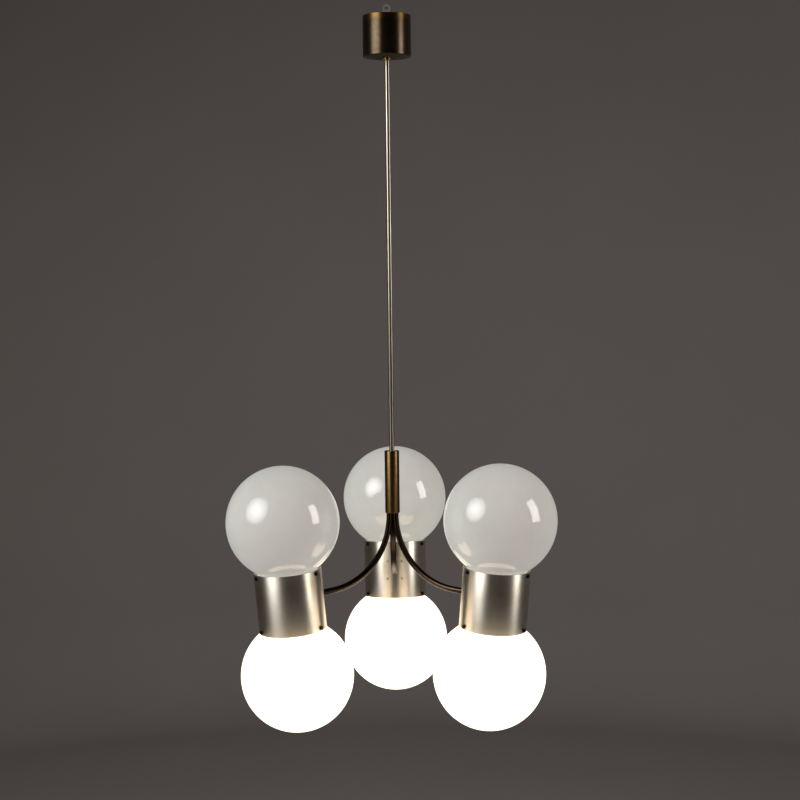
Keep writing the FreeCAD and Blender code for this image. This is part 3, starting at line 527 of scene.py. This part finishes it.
@dataclass(frozen=True)
class PlatedSteel:
    """Steel tube or hardware with a thin bright, zinc or black plating.

    Bright plating gives narrow upright glints with a dark line between them; zinc is paler and
    cloudy; black leaves only a soft sheen on the edges.
    """

    name: str
    metal: str
    shade: str
    smooth: float
    dull: float
    cloud_mm: float = 6.0
    grain_mm: float = 0.8
    turned: bool = False  # fine polishing lines round the piece draw its glints out upright

    def mix(self) -> bpy.types.Material:
        """Put the material together and return it."""
        recipe = Recipe(self.name)
        place = recipe.add("TexCoord").outputs["Object"]
        drawn = recipe.add("Mapping", {"Vector": place, "Scale": (1.0, 1.0, 0.2)}).outputs[0]
        clouds = recipe.add("TexNoise", {"Vector": drawn, "Scale": per(self.cloud_mm),
                                         "Detail": 5.0, "Roughness": 0.6}).outputs[0]
        tone = recipe.add("MapRange", {"Value": clouds, "From Min": 0.35,
                                       "From Max": 0.7}).outputs[0]
        colour = recipe.add("Mix", {0: tone, 6: linear(self.metal), 7: linear(self.shade)},
                            data_type="RGBA").outputs[2]
        rough = recipe.add("MapRange", {"Value": clouds, "From Min": 0.35, "From Max": 0.7,
                                        "To Min": self.smooth, "To Max": self.dull}).outputs[0]
        grain = recipe.add("TexNoise", {"Vector": place, "Scale": per(self.grain_mm),
                                        "Detail": 3.0}).outputs[0]
        bump = recipe.add("Bump", {"Height": grain, "Strength": 0.1,
                                   "Distance": 0.03 * MM}).outputs[0]
        surface = {"Base Color": colour, "Metallic": 1.0, "Roughness": rough, "Normal": bump}
        if self.turned:
            surface |= recipe.lathe_lines()
        return recipe.done(surface)


@dataclass(frozen=True)
class OpalGlass:
    """Mouth-blown opal glass: a milky white body under a fire-polished skin.

    The skin mirrors lamps as crisp small shapes, the body is soft and even with a faint cloud
    in it, and light goes a few millimetres into the edge. A lit ball glows evenly as its lamp;
    an unlit ball has a faint painted glow that evens out its shading.
    """

    name: str
    body: str = "#9fa6a1"
    cloud: str = "#969d98"
    cloud_mm: float = 55.0
    ripple_mm: float = 38.0
    dust_mm: float = 12.0
    depth: float = 0.5  # the share of the light that goes into the body
    depth_mm: float = 12.0
    glow: float = 0.345  # painted glow: the unlit ball gives out an even light of its own, in place of the light of the lit lamp below that comes up through the cylinder into the milky glass; a lit ball sets it higher as its lamp
    # the cool white tint of the painted glow on unlit balls; a lit ball gives its lamp's colour
    glow_colour: str = "#f1f4ec"

    def mix(self) -> bpy.types.Material:
        """Put the material together and return it."""
        recipe = Recipe(self.name)
        place = recipe.add("TexCoord").outputs["Object"]
        clouds = recipe.add("TexNoise", {"Vector": place, "Scale": per(self.cloud_mm),
                                         "Detail": 3.0, "Distortion": 0.4}).outputs[0]
        tone = recipe.add("MapRange", {"Value": clouds, "From Min": 0.35,
                                       "From Max": 0.68}).outputs[0]
        colour = recipe.add("Mix", {0: tone, 6: linear(self.body), 7: linear(self.cloud)},
                            data_type="RGBA").outputs[2]
        ripple = recipe.add("TexNoise", {"Vector": place, "Scale": per(self.ripple_mm),
                                        "Detail": 1.0}).outputs[0]
        bump = recipe.add("Bump", {"Height": ripple, "Strength": 0.08,
                                   "Distance": 0.4 * MM}).outputs[0]
        dust = recipe.add("TexNoise", {"Vector": place, "Scale": per(self.dust_mm),
                                       "Detail": 6.0}).outputs[0]
        rough = recipe.add("MapRange", {"Value": dust, "From Min": 0.35, "From Max": 0.75,
                                        "To Min": 0.035, "To Max": 0.09}).outputs[0]
        # the emission is a painted even glow on unlit balls and bulbs, and the lamp's own light on
        # lit ones
        return recipe.done({"Base Color": colour, "Roughness": rough, "IOR": 1.6,
                            "Subsurface Weight": self.depth,
                            "Subsurface Scale": self.depth_mm * MM,
                            "Emission Color": linear(self.glow_colour),
                            "Emission Strength": self.glow, "Normal": bump})


@dataclass(frozen=True)
class Moulding:
    """Moulded plastic or wire sheath: one colour with a fine orange-peel skin and dust."""

    name: str
    body: str
    dust: str
    roughness: float = 0.4
    dust_mm: float = 4.0
    peel_mm: float = 0.7

    def mix(self) -> bpy.types.Material:
        """Put the material together and return it."""
        recipe = Recipe(self.name)
        place = recipe.add("TexCoord").outputs["Object"]
        dust = recipe.add("TexNoise", {"Vector": place, "Scale": per(self.dust_mm),
                                       "Detail": 6.0, "Roughness": 0.65}).outputs[0]
        dusty = recipe.add("MapRange", {"Value": dust, "From Min": 0.45,
                                        "From Max": 0.8}).outputs[0]
        colour = recipe.add("Mix", {0: dusty, 6: linear(self.body), 7: linear(self.dust)},
                            data_type="RGBA").outputs[2]
        rough = recipe.add("MapRange", {"Value": dust, "From Min": 0.3, "From Max": 0.8,
                                        "To Min": self.roughness,
                                        "To Max": self.roughness + 0.25}).outputs[0]
        peel = recipe.add("TexNoise", {"Vector": place, "Scale": per(self.peel_mm)}).outputs[0]
        bump = recipe.add("Bump", {"Height": peel, "Strength": 0.12,
                                   "Distance": 0.05 * MM}).outputs[0]
        return recipe.done({"Base Color": colour, "Roughness": rough, "Normal": bump})


@dataclass(frozen=True)
class StudioPaper:
    """Pale matt background paper: no gloss, and a faint unevenness that keeps it from looking
    like plain colour."""

    name: str = "StudioPaper"
    body: str = "#b8b2b0"
    shade: str = "#b0aaa8"
    mottle_mm: float = 420.0

    def mix(self) -> bpy.types.Material:
        """Put the material together and return it."""
        recipe = Recipe(self.name)
        place = recipe.add("TexCoord").outputs["Object"]
        mottle = recipe.add("TexNoise", {"Vector": place, "Scale": per(self.mottle_mm),
                                         "Detail": 4.0}).outputs[0]
        colour = recipe.add("Mix", {0: mottle, 6: linear(self.body), 7: linear(self.shade)},
                            data_type="RGBA").outputs[2]
        return recipe.done({"Base Color": colour, "Roughness": 0.95,
                            "Specular IOR Level": 0.1})


@dataclass
class Finishes:
    """Every finish of the lamp, by the record's material slot."""

    canopy_rim: float
    by_slot: dict[str, bpy.types.Material] = field(default_factory=dict)

    def mix_all(self) -> None:
        """Put every finish together."""
        recipes = {
            "patinated_brass": AgedBrass("PatinatedBrass", "#5a4d3b", "#7d6232", "#4d4233",
                                         wear=0.05, streak_length=12.0, smooth=0.36,
                                         dull=0.44, rim_height=self.canopy_rim,
                                         rim_reach_mm=18.0, turned=True),
            "sleeve_brass": AgedBrass("SleeveBrass", "#77613c", "#8d7040", "#654f31", wear=0.2,
                                      streak_length=12.0, smooth=0.36, dull=0.44,
                                      turned=True),
            "arm_brass": AgedBrass("ArmBrass", "#403327", "#574529", "#382d23", streak_mm=9.0,
                                   smooth=0.22, dull=0.28),
            "collar_brass": AgedBrass("CollarBrass", "#7d6038", "#9a7843", "#604a2c",
                                      wear=0.5, streak_mm=3.0, streak_length=1.0),
            "plain_brass": AgedBrass("PlainBrass", "#c2a160", "#d6b979", "#a08350",
                                     wear=0.5, streak_mm=3.0, streak_length=1.0),
            "nickel_stem": PlatedSteel("NickelStem", "#a69f92", "#9b9180", 0.28, 0.32,
                                       turned=True),
            "eye_steel": PlatedSteel("EyeSteel", "#dcdad6", "#b0ada8", 0.34, 0.48),
            "zinc_steel": PlatedSteel("ZincSteel", "#c3c4c2", "#9c9a92", 0.28, 0.45),
            "cap_metal": PlatedSteel("CapMetal", "#cfccc5", "#a9a59c", 0.22, 0.36),
            "rivet_aluminium": PlatedSteel("RivetAluminium", "#b9b1a2", "#8c8474", 0.3, 0.45),
            "blackened_steel": PlatedSteel("BlackenedSteel", "#2a2725", "#171514", 0.32, 0.5),
            "brushed_aluminium": BrushedAluminium(),
            # unlit balls keep the default painted glow
            "opal_glass": OpalGlass("OpalGlass"),
            "opal_glass_lit": OpalGlass("OpalGlassLit", glow=2.0, glow_colour="#fff3d6"),
            # unlit bulbs keep the default painted glow too
            "bulb_glass": OpalGlass("BulbGlass", body="#ecebe6", cloud="#e2e1da"),
            "bulb_glass_lit": OpalGlass("BulbGlassLit", body="#f4f1ea", glow=6.0,
                                        glow_colour="#fff3d6"),
            "dark_bakelite": Moulding("DarkBakelite", "#241c18", "#3d342e"),
            "wire_sheath": Moulding("WireSheath", "#2b2a28", "#3c3a37", 0.5),
            "block_plastic": Moulding("BlockPlastic", "#cfc8b6", "#b8b09c", 0.45),
        }
        for slot, recipe in recipes.items():
            self.by_slot[slot] = recipe.mix()
            LOG.info("finish %s for slot %s", self.by_slot[slot].name, slot)

    def dress_cad(self) -> None:
        """Give every CAD node the finish of its material slot in the record."""
        for name, node in frame["nodes"].items():
            for slot in node.material_slots:
                slot.material = self.by_slot[cad_slot(name)]
            LOG.info("dressed %s", name)


def cad_slot(node: str) -> str:
    """The record's material slot of a CAD node.

    Args:
        node: The node's name.

    Returns:
        The slot's name.
    """
    return next(part["material_slot"] for part in frame["record"]["subparts"]
                if part["node"] == node)


# ------------------------------------------------------------------ sub-assemblies
@dataclass
class Globe:
    """An opal glass ball with a fitter neck and a bead round the neck's end.

    Its own frame has the ball's middle at the origin and the neck pointing down.
    """

    radius: float = 75.0 * MM
    wall: float = 2.5 * MM
    neck_radius: float = 40.0 * MM
    neck_length: float = 11.0 * MM
    shoulder: float = 3.0 * MM
    bead: float = 1.6 * MM
    edge: float = 0.7 * MM
    segments: int = 112
    rings: int = 72
    shoulder_steps: int = 5

    def blow(self) -> Piece:
        """Model the ball: open a sphere, draw the shoulder, neck and bead, and thicken it.

        Returns:
            The glass in its own frame.
        """
        reach, side = self.radius + self.shoulder, self.neck_radius + self.shoulder
        drop = math.sqrt(reach**2 - side**2)
        meet_radius, meet_height = side * self.radius / reach, -drop * self.radius / reach
        glass = Bench.begin("opal_ball", bpy.ops.mesh.primitive_uv_sphere_add,
                            segments=self.segments, ring_count=self.rings, radius=self.radius)
        bpy.ops.object.mode_set(mode="EDIT")
        bpy.ops.mesh.select_all(action="SELECT")
        bpy.ops.mesh.bisect(plane_co=(0.0, 0.0, meet_height), plane_no=(0.0, 0.0, 1.0),
                            clear_inner=True)
        Bench.pick_edges(glass, lambda spot: spot.z < meet_height + SAME_PLACE)
        Bench.draw_ring((meet_radius, meet_height), self._neck_outline(side, drop))
        Bench.face_outwards(glass)
        Bench.modify(glass, "SOLIDIFY", thickness=self.wall, offset=-1.0, use_even_offset=True)
        Bench.soften(glass, self.edge)
        return glass

    def _neck_outline(self, side: float, drop: float) -> list[Station]:
        """The stations from the ball over the shoulder and down the neck to the bead.

        Args:
            side: The shoulder arc's middle, from the axis.
            drop: The shoulder arc's middle, below the ball's middle.

        Returns:
            Radius and height of each station.
        """
        start = math.atan2(drop, -side)
        outline = []
        for step in range(1, self.shoulder_steps + 1):
            turn = start + (math.pi - start) * step / self.shoulder_steps
            outline.append((side + self.shoulder * math.cos(turn),
                            -drop + self.shoulder * math.sin(turn)))
        end = -math.sqrt(self.radius**2 - self.neck_radius**2) - self.neck_length
        slant = self.bead * math.sqrt(0.5)
        for out, up in ((0.0, 2 * self.bead), (slant, self.bead + slant),
                        (self.bead, self.bead), (slant, self.bead - slant), (0.0, 0.0)):
            outline.append((self.neck_radius + out, end + up))
        return outline


@dataclass
class RimScrew:
    """A slotted cheese-head screw. Its own frame has z along it and the head's seat at zero."""

    head_radius: float = 2.75 * MM
    head_height: float = 2.0 * MM
    edge: float = 0.4 * MM
    shank_radius: float = 1.5 * MM
    shank_length: float = 5.0 * MM
    slot_width: float = 0.8 * MM
    slot_depth: float = 0.9 * MM
    segments: int = 28

    def cut(self) -> Piece:
        """Model the screw: round the head, draw the shank out of its seat and cut the slot.

        Returns:
            The screw in its own frame.
        """
        screw = Bench.begin("rim_screw", bpy.ops.mesh.primitive_cylinder_add,
                            vertices=self.segments, radius=self.head_radius,
                            depth=self.head_height, location=(0.0, 0.0, self.head_height / 2))
        Bench.pick_edges(screw, lambda spot: spot.z > self.head_height / 2)
        bpy.ops.mesh.bevel(offset=self.edge, segments=3, affect="EDGES")
        Bench.pick_faces(screw, lambda middle, normal: normal.z < -FACING)
        bpy.ops.mesh.inset(thickness=self.head_radius - self.shank_radius)
        bpy.ops.mesh.extrude_region_move(
            TRANSFORM_OT_translate={"value": (0.0, 0.0, -self.shank_length)})
        slot = Bench.begin("slot_cutter", bpy.ops.mesh.primitive_cube_add, size=1.0,
                           scale=(3 * self.head_radius, self.slot_width, 2 * self.slot_depth),
                           location=(0.0, 0.0, self.head_height))
        Bench.drill(screw, [slot])
        return screw


@dataclass
class Cylinder:
    """A brushed sheet cylinder with holes for the arm, the rivets and the rim screws.

    Its own frame has z along the cylinder and x pointing away from the stem.
    """

    radius: float = 45.0 * MM
    wall: float = 1.5 * MM
    length: float = 81.0 * MM
    edge: float = 0.3 * MM
    segments: int = 144
    arm_hole: float = 4.1 * MM
    rivet_hole: float = 1.25 * MM
    rivet_across: float = 21.0 * MM
    rivet_along: float = 25.0 * MM
    screw_hole: float = 1.55 * MM
    screw_inset: float = 4.2 * MM
    screw_count: int = 3
    hole_segments: int = 32
    slot_turns: tuple[float, ...] = (36.0, -36.0, 71.0, -1.0, 106.0, 34.0)

    def roll(self) -> Piece:
        """Model the cylinder: an open tube with a wall, soft rims and its holes.

        Returns:
            The cylinder in its own frame.
        """
        tube = Bench.begin("sheet_cylinder", bpy.ops.mesh.primitive_cylinder_add,
                           vertices=self.segments, radius=self.radius, depth=self.length,
                           end_fill_type="NOTHING")
        Bench.face_outwards(tube)
        Bench.modify(tube, "SOLIDIFY", thickness=self.wall, offset=-1.0, use_even_offset=True)
        Bench.soften(tube, self.edge)
        Bench.drill(tube, self._cutters())
        Bench.wrap(tube)
        return tube

    def screw_places(self) -> list[Matrix]:
        """Where each rim screw's own frame goes in the cylinder's frame."""
        places = []
        level = self.length / 2 - self.screw_inset
        for index in range(self.screw_count):
            around = Matrix.Rotation(math.tau * index / self.screw_count, 4, "Z")
            for height in (level, -level):
                slot_turn = math.radians(self.slot_turns[len(places)])
                places.append(around @ Matrix.Translation((self.radius, 0.0, height))
                              @ Matrix.Rotation(math.pi / 2, 4, "Y")
                              @ Matrix.Rotation(slot_turn, 4, "Z"))
        return places

    def _cutters(self) -> list[Piece]:
        """The drills for every hole in the wall."""
        holes = [(math.pi, 0.0, self.arm_hole)]
        swing = math.asin(self.rivet_across / 2 / self.radius)
        for turn in (-swing, swing):
            for height in (-self.rivet_along / 2, self.rivet_along / 2):
                holes.append((math.pi + turn, height, self.rivet_hole))
        for place in self.screw_places():
            spot = place.translation
            holes.append((math.atan2(spot.y, spot.x), spot.z, self.screw_hole))
        return [self._drill(*hole) for hole in holes]

    def _drill(self, turn: float, height: float, radius: float) -> Piece:
        """One drill that goes through the wall on one side.

        Args:
            turn: Its angle round the cylinder.
            height: Its height in the cylinder's frame.
            radius: The hole's radius.

        Returns:
            The drill.
        """
        drill = Bench.begin("drill", bpy.ops.mesh.primitive_cylinder_add,
                            vertices=self.hole_segments, radius=radius, depth=6 * self.wall)
        return Bench.settle(drill, Matrix.Rotation(turn, 4, "Z")
                            @ Matrix.Translation((self.radius, 0.0, height))
                            @ Matrix.Rotation(math.pi / 2, 4, "Y"))


@dataclass
class Unit:
    """One lighting unit: a cylinder with a ball on each end, and the screws that hold them."""

    side: Side
    globe: Globe
    cylinder: Cylinder

    def ball_middle(self, end: End) -> Vector:
        """The middle of one of the unit's CAD balls.

        Args:
            end: Which ball.

        Returns:
            The middle, found from the ball's box and its radius at the end away from its neck.
        """
        low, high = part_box(self.globe_node(end))
        level = high.z - self.globe.radius if end is End.UPPER else low.z + self.globe.radius
        return Vector(((low.x + high.x) / 2, (low.y + high.y) / 2, level))

    def globe_node(self, end: End) -> str:
        """The name of the CAD node of one of the unit's balls."""
        return f"{self.side.value}_{end.value}_globe"

    def place(self) -> Matrix:
        """Where the cylinder's own frame goes, read off the CAD balls."""
        upper, lower = (self.ball_middle(end) for end in End)
        along = (upper - lower).normalized()
        middle = (upper + lower) / 2
        across = Vector((0.0, 0.0, 1.0)).cross(Vector((middle.x, middle.y, 0.0))).normalized()
        outwards = across.cross(along)
        turn = Matrix((outwards, across, along)).transposed().to_4x4()
        return Matrix.Translation(middle) @ turn

    def stand_of(self, end: End) -> Matrix:
        """Where a ball's own frame goes in the cylinder's frame.

        Args:
            end: Which ball.

        Returns:
            The place, turned over for the lower ball.
        """
        upper, lower = (self.ball_middle(each) for each in End)
        stand = Matrix.Translation((0.0, 0.0, (upper - lower).length / 2))
        return stand if end is End.UPPER else Matrix.Rotation(math.pi, 4, "X") @ stand

    def fit(self, glass: Piece, tube: Piece, screw: Piece, finishes: Finishes) -> None:
        """Copy the unit's pieces into their places and dress them.

        Args:
            glass: The ball in its own frame.
            tube: The cylinder in its own frame.
            screw: The rim screw in its own frame.
            finishes: The lamp's finishes.
        """
        place = self.place()
        for end in End:
            node = self.globe_node(end)
            ball = Bench.settle(Bench.copy(glass, node + "_glass"), place @ self.stand_of(end))
            self._hand_over(ball, node, finishes)
        node = f"{self.side.value}_tube"
        self._hand_over(Bench.settle(Bench.copy(tube, node + "_brushed"), place), node, finishes)
        screws = [Bench.settle(Bench.copy(screw, f"{self.side.value}_rim_screws"),
                               place @ spot) for spot in self.cylinder.screw_places()]
        Bench.take(screws[0])
        for other in screws[1:]:
            other.select_set(True)
        bpy.ops.object.join()
        self._hand_over(screws[0], f"{self.side.value}_globe_screws", finishes)

    def _hand_over(self, piece: Piece, node: str, finishes: Finishes) -> None:
        """Finish a piece and let it stand for its node.

        Args:
            piece: The piece in its place.
            node: The CAD node that it replaces.
            finishes: The lamp's finishes.
        """
        slot = cad_slot(node)
        Bench.finish(piece, finishes.by_slot[slot])
        Bench.hand_over(piece, Body.PENDANT, node, slot)


@dataclass
class Canopy:
    """The spun cup at the top of the stem, open upwards, with a hole for the stem."""

    radius: float = 32.5 * MM
    wall: float = 1.0 * MM
    corner: float = 0.8 * MM
    edge: float = 0.25 * MM
    hole: float = 4.0 * MM
    segments: int = 128

    def spin(self, finishes: Finishes) -> None:
        """Model the cup between the CAD cup's rims and dress it.

        Args:
            finishes: The lamp's finishes.
        """
        low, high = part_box("canopy")
        level = (low.z + high.z) / 2
        cup = Bench.begin("canopy_cup", bpy.ops.mesh.primitive_cylinder_add,
                          vertices=self.segments, radius=self.radius, depth=high.z - low.z,
                          location=(0.0, 0.0, level))
        Bench.pick_faces(cup, lambda middle, normal: normal.z > FACING)
        bpy.ops.mesh.delete(type="FACE")
        Bench.pick_faces(cup, lambda middle, normal: normal.z < -FACING)
        bpy.ops.mesh.inset(thickness=self.radius - self.hole)
        bpy.ops.mesh.delete(type="FACE")
        Bench.pick_edges(cup, lambda spot: spot.z < level
                         and spot.xy.length > self.radius - SAME_PLACE)
        bpy.ops.mesh.bevel(offset=self.corner, segments=4, affect="EDGES")
        Bench.face_outwards(cup)
        Bench.modify(cup, "SOLIDIFY", thickness=self.wall, offset=-1.0, use_even_offset=True)
        Bench.soften(cup, self.edge)
        Bench.wrap(cup)
        slot = cad_slot("canopy")
        Bench.finish(cup, finishes.by_slot[slot])
        Bench.hand_over(cup, Body.CANOPY_SET, "canopy", slot)


@dataclass
class RoundTube:
    """A straight tube on the lamp's axis that stands for one CAD tube."""

    node: str
    name: str
    radius: float
    wall: float
    edge: float
    segments: int = 64
    finish: str | None = None  # where its finish differs from others in its slot

    def draw(self, finishes: Finishes) -> None:
        """Model the tube between the CAD tube's ends and dress it.

        Args:
            finishes: The lamp's finishes.
        """
        low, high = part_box(self.node)
        tube = Bench.begin(self.name, bpy.ops.mesh.primitive_cylinder_add,
                           vertices=self.segments, radius=self.radius, depth=high.z - low.z,
                           location=(0.0, 0.0, (low.z + high.z) / 2), end_fill_type="NOTHING")
        Bench.face_outwards(tube)
        Bench.modify(tube, "SOLIDIFY", thickness=self.wall, offset=-1.0, use_even_offset=True)
        Bench.soften(tube, self.edge, segments=3)
        Bench.wrap(tube)
        slot = cad_slot(self.node)
        Bench.finish(tube, finishes.by_slot[self.finish or slot])
        Bench.hand_over(tube, Body.PENDANT, self.node, slot)


# ------------------------------------------------------------------ studio
@dataclass(frozen=True)
class Softbox:
    """A soft studio lamp that faces the pendant.

    Azimuth is seen from the pendant: 0 is towards the camera and positive is to the camera's
    right. Angles are in degrees, the distance and the lamp's own size in metres. The key lamp is
    three round ones before each other, brightest in the middle, as a real one is.
    """

    name: str
    azimuth: float
    elevation: float
    distance: float
    width: float
    height: float
    watts: float
    tint: str = "#ffffff"
    shape: str = "RECTANGLE"
    spread: float = 120.0  # degrees; a grid keeps some of the light off the paper

    def hang(self, heart: Vector) -> None:
        """Put the lamp in its place.

        Args:
            heart: The point that it faces.
        """
        lamp = bpy.data.lights.new(self.name, "AREA")
        lamp.shape, lamp.size, lamp.size_y = self.shape, self.width, self.height
        lamp.energy, lamp.color = self.watts, linear(self.tint)[:3]
        lamp.spread = math.radians(self.spread)
        turn, lift = math.radians(self.azimuth), math.radians(self.elevation)
        towards = Vector((math.sin(turn) * math.cos(lift), -math.cos(turn) * math.cos(lift),
                          math.sin(lift)))
        holder = bpy.data.objects.new(self.name, lamp)
        holder.location = heart + towards * self.distance
        holder.rotation_euler = towards.to_track_quat("Z", "Y").to_euler()
        bpy.context.scene.collection.objects.link(holder)
        LOG.info("softbox %s at %s", self.name, tuple(round(part, 2) for part in holder.location))


@dataclass
class Studio:
    """A round paper cove with soft lamps, and the camera."""

    floor_level: float = -1.75
    floor_radius: float = 2.75
    cove_radius: float = 0.35
    wall_top: float = 2.6
    cove_steps: int = 10
    heart: Vector = field(default_factory=lambda: Vector((0.0, 0.0, -0.62)))
    room: str = "#3f3a37"
    nearest: float = 0.05
    farthest: float = 50.0
    lens_mm: float = 70.34
    eye: tuple[float, float, float] = (0.012, -2.125, -0.3802)
    swing: float = 0.8
    pitch: float = -3.91
    roll: float = -0.67

    def lay_paper(self) -> None:
        """Model the floor and the wall that curves up all round it."""
        level, radius, cove = self.floor_level, self.floor_radius, self.cove_radius
        paper = Bench.begin("paper_cove", bpy.ops.mesh.primitive_circle_add, vertices=128,
                            radius=radius, fill_type="NGON", location=(0.0, 0.0, level))
        outline = []
        for step in range(1, self.cove_steps + 1):
            turn = math.pi / 2 * step / self.cove_steps
            outline.append((radius + cove * math.sin(turn), level + cove * (1 - math.cos(turn))))
        outline.append((radius + cove, self.wall_top))
        Bench.pick_edges(paper, lambda spot: True)
        Bench.draw_ring((radius, level), outline)
        bpy.ops.mesh.select_all(action="SELECT")
        bpy.ops.mesh.normals_make_consistent(inside=True)
        Bench.finish(paper, StudioPaper().mix(), smooth=60.0)

    def light(self) -> None:
        """Hang the soft lamps and set the dim light of the room."""
        for lamp in (
            Softbox("key_rim", azimuth=-55.0, elevation=24.0, distance=2.1, width=1.7,
                    height=1.7, watts=11.5, tint="#fffdfa", shape="DISK"),
            Softbox("key_middle", azimuth=-55.0, elevation=24.0, distance=2.07, width=1.25,
                    height=1.25, watts=4.0, tint="#fffefc", shape="DISK"),
            Softbox("key_core", azimuth=-55.0, elevation=24.0, distance=2.04, width=0.7,
                    height=0.7, watts=1.2, tint="#fafbff", shape="DISK"),
            Softbox("side", azimuth=71.5, elevation=15.0, distance=2.1, width=0.66,
                    height=1.25, watts=7.6, tint="#fff9f2"),
        ):
            lamp.hang(self.heart)
        world = bpy.data.worlds.new("Room")
        world.use_nodes = True
        glow = world.node_tree.nodes["Background"]
        glow.inputs["Color"].default_value = linear(self.room)
        glow.inputs["Strength"].default_value = 1.0
        bpy.context.scene.world = world

    def set_camera(self) -> None:
        """Stand the camera before the lamp, a little above its middle and slightly turned."""
        camera = bpy.data.objects.new("camera", bpy.data.cameras.new("camera"))
        camera.data.lens = self.lens_mm
        camera.data.clip_start, camera.data.clip_end = self.nearest, self.farthest
        swing = Matrix.Rotation(math.radians(self.swing), 4, "Z")
        aim = Matrix.Rotation(math.pi / 2 + math.radians(self.pitch), 4, "X")
        roll = Matrix.Rotation(math.radians(self.roll), 4, "Z")
        camera.matrix_world = swing @ Matrix.Translation(self.eye) @ aim @ roll
        bpy.context.scene.collection.objects.link(camera)
        bpy.context.scene.camera = camera
        bpy.context.scene.view_settings.view_transform = "Standard"


def main() -> None:
    """Build the lamp's looks in order and set up the studio."""
    logging.basicConfig(level=logging.INFO, format="%(message)s")
    studio = Studio()
    studio.set_camera()
    finishes = Finishes(canopy_rim=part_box("canopy")[1].z)
    finishes.mix_all()
    finishes.dress_cad()
    Canopy().spin(finishes)
    RoundTube("stem_tube", "stem_rod", radius=3.5 * MM, wall=0.8 * MM, edge=0.15 * MM,
              segments=48).draw(finishes)
    RoundTube("hub_sleeve", "hub_cover", radius=10.0 * MM, wall=1.0 * MM, edge=0.45 * MM,
              finish="sleeve_brass").draw(finishes)
    globe, cylinder = Globe(), Cylinder()
    glass, tube, screw = globe.blow(), cylinder.roll(), RimScrew().cut()
    for side in Side:
        Unit(side, globe, cylinder).fit(glass, tube, screw, finishes)
    for pattern in (glass, tube, screw):
        bpy.data.objects.remove(pattern)
    studio.lay_paper()
    studio.light()


if __name__ == "__main__":
    main()
